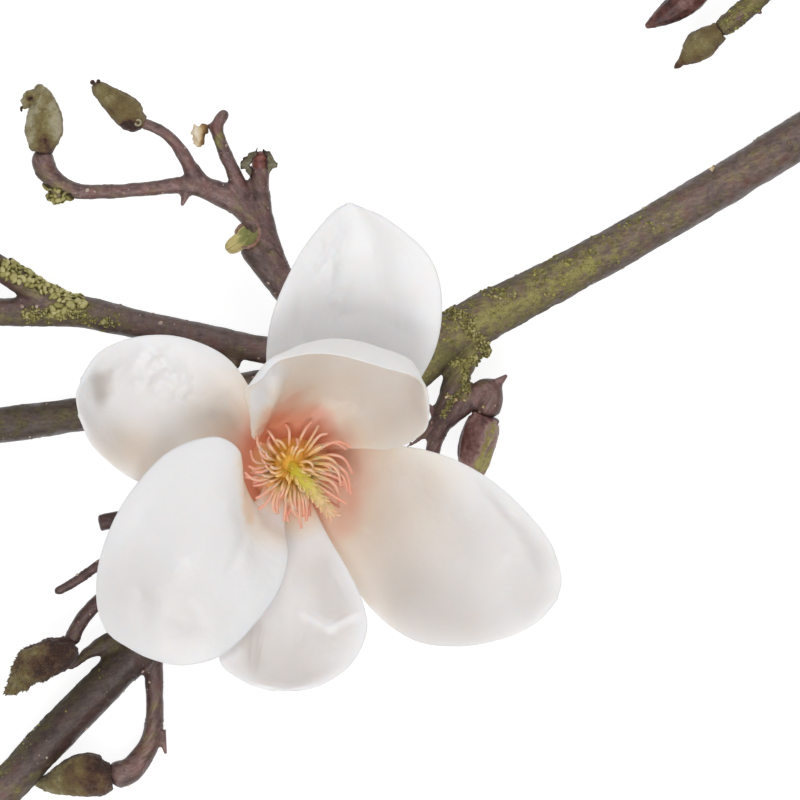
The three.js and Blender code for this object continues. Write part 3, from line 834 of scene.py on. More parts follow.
# Sawn green wood, still moist: olive, cream on its tongue, and a dark red line under a tan rim of bark,
# which is partly the bark's own red and partly painted shadow under the lip.
SAWN = MottledFinish(
    "greenwood_sawn",
    ((0.0, "#7c824b"), (0.25, "#97955a"), (0.55, "#cabb7c"), (0.78, "#6a3f33"), (1.0, "#b8957f")),
    mark="rim", lump=1.0, spread=0.1, relief=0.1, roughness=0.6,
)
# Torn inner bark: pale green fibre with brown edges.
TORN = MottledFinish(
    "bark_torn_fibre", ((0.0, "#938d73"), (0.28, "#6f6a54"), (0.52, "#54453a"), (1.0, "#2b1b18")),
    mark="rim", lump=0.7, spread=0.5, relief=0.2, roughness=0.85,
)
# Wood callus under torn bark, a smooth red brown.
CALLUS = MottledFinish(
    "wood_callus_smooth", ((0.0, "#4b2320"), (0.5, "#7a443c"), (1.0, "#a06f62")),
    mark="tone", lump=1.2, spread=0.25, relief=0.1, roughness=0.4,
)


# ------------------------------------------------------------------ the wood


@dataclass(frozen=True)
class Patch:
    """A stretch of bark, bud or tepal: a line seen from above, its reach and how strong it is."""

    start: tuple[float, float]
    end: tuple[float, float]
    reach: float
    strength: float

    def share(self, points: Array) -> Array:
        """Fades the patch: full in the middle, then less, with a ragged margin.

        Args:
            points: Places to look at.

        Returns:
            How much of the patch each place has.
        """
        distance = segment_distance(points, self.start, self.end)
        distance = distance * (1 + 0.3 * lattice_noise(points, 0.7 * self.reach, 7))
        return self.strength * (1 - smooth_step(distance, self.reach * 0.1, self.reach * 1.15))


def patches(*rows: tuple[float, ...]) -> tuple[Patch, ...]:
    """Makes several patches.

    Args:
        rows: For each, x and y of its two ends, how far it reaches and its strength.

    Returns:
        The patches.
    """
    return tuple(Patch(row[:2], row[2:4], *row[4:]) for row in rows)


def strongest(group: Sequence[Patch], points: Array) -> Array:
    """The share of the patch that is strongest at each point."""
    return np.max([patch.share(points) for patch in group], axis=0)


def summed(group: Sequence[Patch], points: Array) -> Array:
    """The shares of all the patches at each point, added up."""
    return sum((patch.share(points) for patch in group), np.zeros(len(points)))


@dataclass
class LimbMap:
    """Finds, for any point of the bark, the limb it belongs to and its place along and round it."""

    routes: Sequence[Route]
    step: float = 0.6

    def __post_init__(self) -> None:
        """Samples every limb's middle line and sorts the samples by their place."""
        samples, tangents, gone, owner = [], [], [], []
        for number, route in enumerate(self.routes):
            dense = Curve(np.array(route)).at(np.linspace(0, 1, 60 * len(route)))
            length = np.linalg.norm(np.diff(dense[:, :3], axis=0), axis=1)
            far = np.concatenate([[0], np.cumsum(length)])
            places = np.linspace(0, far[-1], max(4, round(far[-1] / self.step)))
            rows = np.stack([np.interp(places, far, dense[:, k]) for k in range(4)], axis=1)
            samples.append(rows)
            tangents.append(unit(np.gradient(rows[:, :3], axis=0)))
            gone.append(places)
            owner.append(np.full(len(rows), number))
        self.samples = np.vstack(samples)
        self.tangents = np.vstack(tangents)
        self.gone = np.concatenate(gone)
        self.owner = np.concatenate(owner)
        self.tree = KDTree(len(self.samples))
        for index, row in enumerate(self.samples):
            self.tree.insert(row[:3], index)
        self.tree.balance()

    def places(self, points: Array) -> tuple[Array, Array, Array, Array]:
        """Places points on the limbs.

        Args:
            points: The points to place.

        Returns:
            For each point its limb's number, its length along the limb, the limb's radius there,
            and its offset from the middle line.
        """
        found = np.array([self.tree.find(point)[1] for point in points])
        offset = points - self.samples[found, :3]
        beyond = np.sum(offset * self.tangents[found], axis=1)
        along = self.gone[found] + beyond
        offset = offset - beyond[:, None] * self.tangents[found]
        return self.owner[found], along, self.samples[found, 3], offset


class End(Enum):
    """How a limb ends."""

    CUT = "cut"
    ROUND = "round"
    BUD = "bud"


@dataclass(frozen=True)
class Limb:
    """One limb: the points of its middle line with its radius at each, and its end."""

    route: Route
    end: End = End.ROUND
    into_bud: float = 2.2

    def tube(self, sides: int, step: float, round_start: bool) -> Shape:
        """Makes the limb as a tube, which runs a little way into the bud that it carries.

        Args:
            sides: Points round each ring.
            step: Distance between two rings.
            round_start: Closes its start with a dome.

        Returns:
            The tube.
        """
        route = np.array(self.route)
        if self.end is End.BUD:
            ahead = route[-1, :3] - route[-2, :3]
            ahead *= self.into_bud / np.linalg.norm(ahead)
            route = np.vstack([route, [*(route[-1, :3] + ahead), route[-1, 3] * 0.92]])
        return sweep(route, sides, step, round_start, self.end is not End.CUT)


@dataclass(frozen=True)
class Wood:
    """The stems, twigs, spurs and the flower's stalk, which grew as one piece of wood."""

    main_stem: Route = (
        (190, 127, 6.5, 7.0), (171, 115, 7.0, 6.8), (150, 101.5, 8.2, 6.6), (120, 83, 9.8, 6.4),
        (90, 65.5, 11.2, 6.5), (66, 53, 12.2, 6.9), (52, 45.5, 12.6, 7.5), (41, 38, 12.6, 7.0),
        (27, 24, 12.2, 6.3), (9, 5, 11.3, 6.1), (-12, -16.5, 10.2, 6.0), (-33, -37.5, 9, 5.9),
        (-56, -60, 7.6, 5.9), (-78, -82.5, 6.3, 5.9), (-94, -100, 5.6, 5.8), (-104, -110.5, 5.4, 5.7),
    )
    side_stems: tuple[Route, ...] = (
        (
            (46, 42, 12.4, 5.6), (30, 38.5, 12.8, 4.7), (10, 36.5, 12.8, 4.2), (-10, 37.5, 12.4, 4.1),
            (-30, 41.5, 11.8, 4.3), (-52, 46, 11.2, 4.5), (-66, 49, 11, 4.9), (-81, 49, 10.4, 4.4),
            (-92, 49, 9.8, 4.2), (-101, 48.5, 9.2, 4.1),
        ),
        ((-63, 48.5, 11, 3.8), (-75, 52.5, 11.6, 4.0), (-87, 60, 12.4, 3.8), (-100, 68.5, 13.4, 3.6)),
        (
            (38, 36, 12, 5.8), (15, 30.5, 11.2, 5.2), (-15, 26, 9.9, 5.2), (-42, 21.5, 8.4, 5.2),
            (-67, 18, 6.6, 5.2), (-90, 15, 5.5, 5.5), (-102, 13.5, 5.2, 5.5),
        ),
    )
    twigs: tuple[Limb, ...] = (
        Limb((
            (25, 37, 13, 4.4), (10, 44, 14.2, 4.2), (-4, 56, 15.4, 4.8), (-10, 63.6, 16, 4.7),
            (-14.2, 68.8, 16.2, 4.5), (-16.2, 71, 16, 4.2),
        )),
        Limb((
            (-4.5, 56, 15.8, 3.2), (-8.8, 69, 16.8, 3.1), (-11.3, 79.5, 18.2, 2.9),
            (-12.2, 87.5, 18.8, 2.9), (-11.9, 92.5, 19.1, 2.9), (-11.9, 95.2, 19.2, 2.5),
        )),
        Limb((
            (-9, 69, 17, 3.2), (-16.5, 80, 18.2, 3.8), (-23.5, 84.2, 18.8, 3.8), (-33, 87, 19.4, 2.8),
            (-45, 86, 19.4, 2.25), (-60, 85, 19, 2.25), (-68.5, 85.6, 19, 2.6), (-74.3, 89.2, 19.8, 3.1),
            (-76.9, 92.8, 20.6, 3.5), (-77.5, 95.9, 21.1, 3.5),
        ), End.BUD),
        Limb((
            (-27.5, 85.5, 19, 2.8), (-31.8, 90.5, 20.4, 2.5), (-33.8, 94, 21.2, 2.25),
            (-36.1, 97.8, 21.9, 2.15), (-38.9, 101.1, 22.5, 1.85), (-43.2, 104.1, 22.9, 1.75),
            (-46.3, 105.3, 23.1, 1.9),
        ), End.BUD),
        Limb((
            (-16, 82.5, 18.8, 2.6), (-20, 91, 20.8, 2.3), (-23.5, 99, 22.4, 2.1),
            (-25, 104.5, 23.4, 1.9), (-22, 109.5, 24, 1.7),
        )),
        Limb((
            (52, 41.5, 12.2, 5.0), (49.6, 35.5, 11.8, 4.3), (47.2, 29.5, 11.2, 3.9),
            (45.2, 23.5, 10.6, 3.8), (42.6, 16.5, 9.8, 3.3), (40.6, 10.2, 9, 2.5), (38.8, 1.5, 8, 2.2),
            (37, -6, 7.2, 1.9),
        )),
        Limb((
            (42.5, 15, 9.9, 3.0), (46.5, 18.3, 10.4, 2.8), (50.7, 21.6, 10.8, 2.75),
            (54.2, 25.4, 11.4, 3.1), (56.8, 25.6, 11.8, 3.7), (57, 22, 11.4, 3.95),
            (56.3, 18.9, 11, 3.9),
        ), End.BUD),
        Limb((
            (-6, -10.5, 10.6, 3.2), (-22.5, -8.5, 12.2, 2.9), (-40, -10.5, 12.6, 2.7),
            (-53, -13, 12.6, 2.6), (-60.5, -14.5, 12.6, 2.6),
        ), End.CUT),
        Limb((
            (-37, -10.5, 12.6, 2.2), (-48, -19.5, 12.8, 1.9), (-61, -27.5, 12.6, 1.7),
            (-67.5, -32, 12.6, 1.6), (-74, -35.5, 12.6, 1.5),
        )),
        Limb((
            (-22, -27, 9.6, 3.2), (-39, -29, 11, 2.8), (-52, -32.5, 11.6, 2.5), (-61, -38.5, 11.6, 2.3),
            (-66, -44, 11.6, 2.3), (-68.6, -49.2, 11.4, 2.4),
        ), End.BUD),
        Limb((
            (-45, -49.5, 8.6, 3.8), (-56, -50, 9, 3.2), (-63.5, -53.5, 8, 2.0), (-70, -58.8, 6.6, 0.7),
        )),
        Limb((
            (-42, -46, 8.6, 3.2), (-44, -57, 8.2, 2.8), (-43.9, -67.5, 7.8, 2.8), (-44, -75, 7.4, 2.9),
            (-45.9, -81.8, 7.2, 3.2), (-48.5, -86, 7, 3.6), (-51.4, -89.2, 7, 4.0),
            (-55.8, -90.4, 6.9, 4.2),
        ), End.BUD),
        Limb((
            (182, 122, 8, 4.6), (171, 139, 8.4, 3.9), (157, 152, 9.4, 3.4), (145, 149.5, 10.2, 3.1),
            (136, 142, 10.6, 3.3), (131.5, 138, 10.4, 3.3), (127, 134.4, 10.2, 2.9),
        ), End.BUD),
        Limb((
            (160, 152, 9.4, 3.0), (145, 158, 11.4, 2.6), (132.5, 156.5, 12.8, 2.5),
            (124.4, 150.2, 13.2, 2.5),
        ), End.BUD),
        Limb((
            (22, 20, 12, 4.8), (10, 12, 13.6, 4.0), (1, 6, 15.6, 3.6), (-3, 3, 18.4, 3.6),
            (-3, 3, 19.8, 4.0), (*FLOWER_CENTRE, 4.4),
        ), End.BUD),
    )
    spurs: tuple[Route, ...] = (
        ((-34, 85.5, 19.4, 1.8), (-35.5, 80.8, 19.6, 0.4)),
        ((-75.3, 85.4, 19, 2.3), (-72.8, 83.9, 18.9, 2.1), (-70.6, 83.6, 18.8, 1.4)),
        ((-42, -77, 7.6, 1.6), (-40.5, -84, 8.2, 0.4)),
        ((135.5, 140.8, 10.8, 1.8), (138.8, 138.8, 11.2, 0.4)),
        ((57.5, 26, 12, 2.4), (62.2, 30, 12.6, 0.4)),
        ((41, 18, 10.2, 1.8), (38.3, 21.4, 10.8, 0.3)),
        ((-20, 40, 12, 3.0), (-20, 34, 11.6, 2.6), (-18, 32.5, 11.4, 1.6)),
        ((-28, 105.4, 23.6, 0.9), (-25.4, 103, 23, 1.2)),
        ((41.5, 17, 9.8, 2.0), (36, 11, 10.6, 1.0), (31.5, 8, 11, 0.6)),
        ((53.5, 40, 13, 3.0), (55.4, 37.4, 12.4, 2.2), (55.8, 35.6, 12, 1.3)),
    )
    mossy: tuple[Patch, ...] = patches(
        (30, 27, 78, 60, 15, 0.62), (78, 60, 92, 67.5, 12, 0.5), (77, 57, 87, 62.5, 5, 0.85),
        (92, 67.5, 112, 80, 12, 0.34), (32, 27, 50, 37, 9, 0.7), (112, 80, 170, 114, 12, 0.12),
        (48.5, 24, 49.5, 36, 3.4, 0.7), (78, 58, 92, 66, 7, 0.3), (-92, 64, -64, 50, 7, 0.45),
        (-100, 47, -64, 47, 4, 0.5), (-62, 47, -54, 46, 4, 0.45), (-102, 15, -64, 19, 8, 0.4),
        (-97, -94, -52, -48, 4, 0.62), (-92, -102, -72, -85, 3, 0.5), (-104, -104, -94, -96, 5, 0.5),
        (-20, 83, -10, 66, 6, 0.12), (-25, 99, -24, 102, 3, 0.5), (-70, 86, -77, 82, 5, 0.42),
        (-58, -49, -70, -58, 5, 0.42), (-20, 36, -18, 32, 5, 0.34), (126, 135, 142, 148, 9, 0.62),
        (-78, 92, -76, 88, 3, 0.3), (-45, -84, -44, -66, 4, 0.22),
    )
    shaded: tuple[Patch, ...] = patches(
        (-76, -74, -50, -46, 24, 0.7), (-110, -112, -80, -76, 30, 0.1), (-74, -54, -50, -30, 16, 0.5),
        (-76, -37, -40, -14, 8, 0.5), (-104, 14, -60, 19, 20, 0.62), (-104, 48, -20, 41, 14, 0.3),
        (-104, 70, -84, 58, 12, 0.34), (-60, -12, -40, -12, 16, 0.5), (46, 36, 43, 18, 6, 0.42),
        (130, 146, 110, 138, 22, 0.2), (-14, 88, -10, 64, 6, 0.3),
    )
    ridges: tuple[Patch, ...] = patches(
        (43.5, 50, 49, 47.5, 1.5, 1.1), (49, 47.5, 52, 42.5, 1.5, 1.2), (52, 42.5, 54.5, 39, 1.4, 1.0),
        (54.5, 39, 53, 34, 1.4, 0.9), (46, 34.5, 54, 34, 1.2, 0.7),
        (-26.5, 84.5, -24.5, 88.5, 0.9, 0.35), (-15.5, 86, -18.5, 83, 0.9, 0.35),
        (-12, 72, -5, 64.5, 0.8, 0.4),
    )
    voxel: float = 0.73
    scar_spacing: float = 24.0
    scar_width: float = 0.35
    underside_shade: float = 0.9  # painted shade: how much darker the bark is where it faces the ground
    thick: tuple[float, float] = (3.2, 5.2)  # radii at which bark starts to look old, and does
    pore_spacing: float = 1.7

    def _blank(self) -> Shape:
        """Lays out the limbs.

        Returns:
            One set of overlapping tubes.
        """
        thin = [limb.tube(20, 1.2, True) for limb in self.twigs]
        short = [sweep(np.array(route), 20, 0.8, True, True) for route in self.spurs]
        stems = (self.main_stem, *self.side_stems)
        stout = [sweep(np.array(route), 36, 2.0, False, False) for route in stems]
        return join([*stout, *thin, *short])

    def _remeshed(self) -> Shape:
        """Grows the tubes together, softened where limbs meet.

        Returns:
            One skin of even fineness.
        """
        blank = self._blank()
        mesh = bpy.data.meshes.new("blank")
        mesh.from_pydata((blank.points * MM).tolist(), [], blank.faces.tolist())
        piece = add_object("blank", mesh)
        remesh = piece.modifiers.new("remesh", "REMESH")
        remesh.mode = "VOXEL"
        remesh.voxel_size = self.voxel * MM
        smooth = piece.modifiers.new("smooth", "SMOOTH")
        smooth.factor = 0.5
        smooth.iterations = 6
        graph = bpy.context.evaluated_depsgraph_get()
        skin = bpy.data.meshes.new_from_object(piece.evaluated_get(graph))
        points = np.zeros(len(skin.vertices) * 3)
        skin.vertices.foreach_get("co", points)
        skin.calc_loop_triangles()
        faces = np.zeros(len(skin.loop_triangles) * 3, np.int32)
        skin.loop_triangles.foreach_get("vertices", faces)
        bpy.data.objects.remove(piece)
        bpy.data.meshes.remove(mesh)
        bpy.data.meshes.remove(skin)
        return Shape(points.reshape(-1, 3) / MM, faces.reshape(-1, 3))

    def _scars(self, limbs: LimbMap, owner: Array, along: Array) -> Array:
        """Places the ring scars that bud scales leave round a twig.

        Args:
            limbs: Where the limbs run.
            owner: The number of each point's limb.
            along: How far along its limb each point lies.

        Returns:
            How close each point is to a scar, 1 at the most.
        """
        random = np.random.default_rng(3)
        scar = np.zeros(len(owner))
        for number in range(1 + len(self.side_stems), len(limbs.routes)):
            mine = owner == number
            total = limbs.gone[limbs.owner == number].max()
            for place in np.arange(random.uniform(4, 9), total, self.scar_spacing):
                place += random.uniform(-3, 3)
                for offset in (0.0, random.uniform(0.9, 1.5)):
                    near = np.exp(-(((along[mine] - place - offset) / self.scar_width) ** 2))
                    scar[mine] = np.maximum(scar[mine], near)
        return scar

    def shape(self) -> Shape:
        """Builds the wood with its lumps, scars, ridges and cut ends.

        Returns:
            The wood, with the marks that the bark reads.
        """
        skin = self._remeshed()
        routes = (self.main_stem, *self.side_stems, *(limb.route for limb in self.twigs))
        limbs = LimbMap(routes)
        owner, along, radius, offset = limbs.places(skin.points)
        normals = skin.normals()
        scar = self._scars(limbs, owner, along)
        moss = strongest(self.mossy, skin.points)
        ridge = strongest(self.ridges, skin.points)
        ridge *= np.clip(normals[:, 2], 0, 1) * (0.6 + 0.9 * lattice_noise(skin.points, 1.8, 9))
        stretched = skin.points + offset * 0.5
        swells = 0.035 * radius * lattice_noise(stretched, 9, 1)
        push = swells + 0.17 * lattice_noise(skin.points, 3.1, 2)
        crumbs = (0.07 + 0.2 * np.clip(moss, 0, 1)) * lattice_noise(skin.points, 1.4, 4)
        push += crumbs + 0.16 * scar + ridge
        age = smooth_step(radius, *self.thick)
        cut = np.zeros(len(owner))
        for number in range(1 + len(self.side_stems)):
            total = limbs.gone[limbs.owner == number].max()
            end = np.minimum(along, total - along) if number == 0 else total - along
            reach = np.linalg.norm(offset, axis=1) / radius
            inner = 1 - smooth_step(reach, 0.84, 0.94)
            cut = np.maximum(cut, (owner == number) * (end < 0.25) * inner)
        points = skin.points + normals * (push * (1 - cut))[:, None]
        grain = offset * 1.1 + (along * 0.5 + owner * 40)[:, None] * (1, 0, 0)
        crease = smooth_step(-lattice_noise(skin.points, 2.2, 8), 0.4, 0.85) * 0.2
        shade = strongest(self.shaded, skin.points)
        # painted shade: the bark darkens as its skin turns from up towards the ground, except on the cut
        # faces
        underside_shade = self.underside_shade * np.clip(1 - normals[:, 2], 0, 1) ** 0.8 * (1 - cut)
        marks = {
            "grain": grain, "age": age, "moss": moss, "cut": cut,
            "shade": 1 - (1 - shade) * (1 - underside_shade),
            "scar": np.clip(scar * 0.3 + crease + smooth_step(ridge, 0.3, 0.9) * 0.6, 0, 1),
        }
        return Shape(points, skin.faces, marks)

    def build(self) -> Shape:
        """Adds the wood with its thorns and pores.

        Returns:
            The bark's shape, which the lichen grows on.
        """
        bark = self.shape()
        material = BarkFinish().make()
        add_piece("wood", bark, material, ["wood"])
        sharp = [route for route in self.spurs if route[-1][3] < 0.5]
        thorns = join([sweep(np.array(route), 14, 0.5, False, True) for route in sharp])
        thorns.marks = {"age": np.zeros(len(thorns.points)), "grain": thorns.points * (0.6, 0.6, 0.6)}
        add_piece("thorns", thorns, material, ["wood"])
        self._add_pores(bark)
        return bark

    def _add_pores(self, bark: Shape) -> None:
        """Dots the bark with raised pores, which are thickest on young twigs.

        Args:
            bark: The bark's shape.
        """
        normals = bark.normals()
        likely = (0.3 + 0.7 * (1 - bark.marks["age"])) * (bark.marks["moss"] < 0.35)
        likely *= (bark.marks["cut"] < 0.1) * smooth_step(lattice_noise(bark.points, 7, 23), -0.3, 0.5)
        spots = surface_spots(bark, likely, self.pore_spacing, 6000, 21)
        random = np.random.default_rng(22)
        size = 0.13 + 0.5 * random.random(len(spots)) ** 6
        sizes = np.stack([size * 1.3, size, size * 0.45], axis=1)
        turns = random.uniform(0, math.pi, len(spots))
        pores = planted(ball(1), bark.points[spots], normals[spots], sizes, turns)
        add_piece("bark_pores", pores, LENTICEL.make(), ["wood"])


@dataclass(frozen=True)
class Lichen:
    """Lobed crust on the fork and a knee of the long shoot, curls on the collar, powdery heaps."""

    crust: tuple[Patch, ...] = patches(
        (-87.5, 62, -67.5, 52.5, 3.6, 1.0), (-74, 49, -68, 50, 2.2, 0.8),
        (-76.2, 84.6, -71.5, 83, 2.8, 1.0),
    )
    curls: tuple[Patch, ...] = patches(
        (42.5, 50, 48, 48, 2.6, 0.9), (48, 48, 52, 42.5, 2.4, 0.9), (52, 42.5, 56, 37, 2.4, 1.0),
        (46, 33.5, 55, 35, 2.0, 0.8), (49.5, 33, 49.5, 26, 2.2, 0.8), (56, 55, 64, 54, 3.0, 0.4),
        (-82, 48, -66, 48.5, 3.0, 0.9), (-64, 46, -56, 46, 2.4, 0.5), (43, 18, 46, 24, 2.4, 0.6),
    )
    heaps: tuple[Patch, ...] = patches(
        (44, 45, 92, 69, 8, 0.55), (92, 69, 108, 78, 7, 0.3), (76, 57, 88, 63, 5, 0.6),
        (49, 25, 50, 35, 3, 0.6), (-98, -94, -54, -50, 4, 0.2), (-62, 47, -54, 45, 4, 0.5),
        (128, 136, 142, 148, 7, 0.5), (139, 101, 142, 104, 3, 0.9),
    )
    lobe: tuple[float, float, float] = (1.3, 0.9, 0.8)
    lobe_spacing: float = 1.05
    curl: tuple[float, float, float] = (0.62, 0.4, 0.5)
    curl_spacing: float = 0.62
    heap: float = 0.28
    heap_spacing: float = 0.34
    most_heaps: int = 9000

    def build(self, bark: Shape) -> None:
        """Grows the lichen.

        Args:
            bark: The bark's shape.
        """
        normals = bark.normals()
        random = np.random.default_rng(41)
        likely = strongest(self.crust, bark.points)
        likely *= normals[:, 2] > -0.35
        spots = surface_spots(bark, smooth_step(likely, 0.2, 0.6), self.lobe_spacing, 60000, 42)
        sizes = np.array(self.lobe) * random.uniform(0.6, 1.2, (len(spots), 1))
        turns = random.uniform(0, math.pi, len(spots))
        tilted = unit(normals[spots] + random.normal(0, 0.3, (len(spots), 3)))
        lobes = planted(ball(2), bark.points[spots], tilted, sizes, turns, 0.5)
        shade = 0.65 + 0.5 * lobes.marks["tone"]
        lobes.marks["height"] = smooth_step(lobes.marks["height"], -0.1, 1.0) * shade
        lichen = LICHEN.make()
        add_piece("lichen_crust", lobes, lichen, ["wood"])
        likely = strongest(self.curls, bark.points)
        spots = surface_spots(bark, smooth_step(likely, 0.1, 0.7), self.curl_spacing, 60000, 44)
        sizes = np.array(self.curl) * random.uniform(0.5, 1.3, (len(spots), 1))
        turns = random.uniform(0, math.pi, len(spots))
        tilted = unit(normals[spots] + random.normal(0, 0.7, (len(spots), 3)))
        curls = planted(ball(1), bark.points[spots], tilted, sizes, turns, 0.6)
        shade = 0.3 + 0.6 * curls.marks["tone"]
        curls.marks["height"] = 0.2 + 0.8 * smooth_step(curls.marks["height"], -0.5, 1.0) * shade
        add_piece("lichen_curls", curls, lichen, ["wood"])
        likely = strongest(self.heaps, bark.points)
        likely *= smooth_step(lattice_noise(bark.points, 4.2, 6), 0.05, 0.4)
        spots = surface_spots(bark, likely, self.heap_spacing, 90000, 43)[:self.most_heaps]
        spread = 0.5 + 1.5 * random.random((len(spots), 1)) ** 2.5
        sizes = self.heap * spread * np.array((1.15, 0.9, 0.55))
        turns = random.uniform(0, math.pi, len(spots))
        heaps = planted(ball(0), bark.points[spots], normals[spots], sizes, turns, 0.35)
        add_piece("algae_heaps", heaps, ALGAE.make(), ["wood"])


@dataclass(frozen=True)
class SawnStub:
    """The pruned stub: a pale slanting cut with a tongue, and a curling lip of bark round it."""

    centre: tuple[float, float, float] = (-15.9, 72.0, 20.4)
    towards: tuple[float, float, float] = (-0.45, 0.42, 1.0)
    radius: float = 3.8
    lead: float = 0.5
    tongue: tuple[float, float] = (8.0, 2.45)
    lip: float = 0.48
    lip_turns: tuple[float, float] = (0.7, 5.6)

    def _axes(self) -> tuple[Array, Array, Array]:
        """Finds how the cut lies.

        Returns:
            Its long axis, its short axis and the way it faces.
        """
        up = np.array(self.towards) / np.linalg.norm(self.towards)
        long = np.array([-math.cos(self.lead), -math.sin(self.lead), 0.0])
        long -= up * (long @ up)
        long /= np.linalg.norm(long)
        return long, np.cross(up, long), up

    def _reach(self, turns: Array) -> Array:
        """Outlines the cut: a round, and a round-ended tongue.

        Args:
            turns: Angles from the long axis.

        Returns:
            How far the cut reaches at each angle.
        """
        length, half = self.tongue
        along, across = np.cos(turns), np.abs(np.sin(turns))
        room = np.maximum(half**2 - (length - half) ** 2 * across**2, 0)
        end = np.where(room > 0, (length - half) * along + np.sqrt(room), 0)
        side = np.where(along > 0, half / np.maximum(across, 1e-3), 0)
        reach = np.maximum(self.radius, np.where(side * along < length - half, side, end))
        return sum(np.roll(reach, step) for step in (-2, -1, 0, 1, 2)) / 5

    def build(self) -> None:
        """Adds the cut face and its lip."""
        long, short, up = self._axes()
        rings, sides = 16, 72
        turns = np.arange(sides) / sides * 2 * math.pi
        reach = self._reach(turns)
        ahead = smooth_step(np.cos(turns), 0.6, 0.9)
        spokes = np.cos(turns)[:, None] * long + np.sin(turns)[:, None] * short
        grid, rims = [], []
        for share in np.linspace(1, 0, rings):
            flat = (reach * share)[:, None] * spokes
            dip = -0.7 * (1 - share**3) * (1 - 0.5 * ahead * share) + 0.1 * np.sin(3 * turns + 5 * share)
            grid.append(np.array(self.centre) + flat + dip[:, None] * up)
            wood = 0.12 + 0.42 * ahead * smooth_step(np.full(sides, share), 0.25, 0.6)
            edge = smooth_step(np.full(sides, share), 0.78, 0.95)
            # round its edge the cut turns yellow tan on the tongue's side and dark red brown elsewhere:
            # partly the bark's red line, partly painted shadow under the lip
            rims.append(wood + edge * (np.where(ahead > 0.5, 0.6, 0.8) - wood))
        upper, rim = np.stack(grid), np.stack(rims)
        upper = np.concatenate([upper, upper[:, :1]], axis=1)
        rim = np.concatenate([rim, rim[:, :1]], axis=1)
        lower = upper - up * 1.3
        face = sheet_between(upper[:, ::-1], lower[:, ::-1], {"rim": (rim[:, ::-1], rim[:, ::-1])})
        add_piece("stub_sawn_face", face, SAWN.make(), ["wood"])
        random = np.random.default_rng(52)
        ring = []
        start, end = self.lip_turns
        for turn in np.linspace(start, end, 34):
            out = self.radius + 0.25 + random.uniform(-0.12, 0.12)
            flat = out * (math.cos(turn) * long + math.sin(turn) * short)
            rise = up * (0.1 + random.uniform(-0.15, 0.25))
            taper = min(1.0, 0.3 + 1.6 * (turn - start), 0.3 + 1.6 * (end - turn))
            thick = (self.lip + random.uniform(-0.1, 0.12)) * taper
            ring.append((*(np.array(self.centre) + flat + rise), thick))
        lip = sweep(np.array(ring), 12, 0.4, True, True)
        push = 0.2 * lattice_noise(lip.points, 0.9, 53)
        lip.points = lip.points + lip.normals() * push[:, None]
        lip.marks = {"age": np.full(len(lip.points), 0.2), "grain": lip.points * 0.7}
        finish = BarkFinish("bark_lip_peeling", ("#805a4d", "#b99583"), flush="#8c4f42")
        add_piece("stub_bark_lip", lip, finish.make(), ["wood"])


@dataclass(frozen=True)
class TornStub:
    """The broken stub's tip: two flaps of torn bark that stand open round a red-brown cap."""

    flaps: tuple[tuple[Route, ...], ...] = (
        (
            ((-15.2, 89.2, 18.6), (-14.8, 89.2, 19.4), (-14.2, 89.2, 20.2)),
            ((-16.2, 91.2, 19.4), (-15.4, 91.2, 20.8), (-14.6, 91.2, 21.4)),
            ((-17.6, 93.2, 20.2), (-16.2, 93.1, 22.0), (-14.9, 92.9, 22.4)),
            ((-16.7, 94.8, 20.6), (-15.4, 94.6, 22.6), (-14.2, 94.4, 22.6)),
            ((-14.8, 96.9, 20.8), (-14.1, 96.5, 22.4), (-13.3, 95.8, 22.4)),
            ((-12.8, 98.1, 21), (-12.6, 97.5, 21.8), (-12.4, 96.8, 21.8)),
        ),
        (
            ((-10.2, 90.2, 20.2), (-9.7, 90.3, 19.6), (-9.3, 90.4, 19.0)),
            ((-10.0, 92.0, 21.4), (-9.3, 92.0, 20.8), (-8.6, 91.9, 19.8)),
            ((-10.0, 93.4, 22.6), (-8.4, 93.1, 22.2), (-6.8, 92.3, 20.6)),
            ((-9.7, 94.9, 22.4), (-8.6, 94.8, 22.4), (-7.4, 94.8, 21.2)),
            ((-10.0, 95.9, 22.2), (-9.4, 96.3, 22.2), (-9.0, 96.8, 21)),
            ((-10.8, 96.6, 21.8), (-10.9, 97.1, 21.8), (-11.1, 97.7, 21)),
        ),
    )
    cap: Route = (
        (-12, 91.5, 19.4, 2.2), (-11.9, 94, 19.9, 2.6), (-11.9, 95.6, 20, 2.5), (-11.9, 97.2, 19.8, 1.7),
    )
    rings: tuple[float, ...] = (3.0, 4.6)

    def build(self) -> None:
        """Adds the flaps and the cap."""
        flaps = join([thin_blade(np.array(rows), 16, 34, 0.5, 0.55) for rows in self.flaps])
        flaps.marks["rim"] = 0.16 + 0.9 * flaps.marks["rim"]
        add_piece("torn_bark_flaps", flaps, TORN.make(), ["wood"])
        cap = sweep(np.array(self.cap), 32, 0.25, False, True)
        along = cap.marks["along"]
        push = 0.12 * lattice_noise(cap.points, 1.1, 55)
        for ring in self.rings:
            push -= 0.22 * np.exp(-(((along - ring) / 0.25) ** 2))
        cap.points = cap.points + cap.normals() * push[:, None]
        cap.marks = {"tone": np.clip(0.5 + 1.5 * push, 0, 1)}
        add_piece("torn_stub_cap", cap, CALLUS.make(), ["wood"])


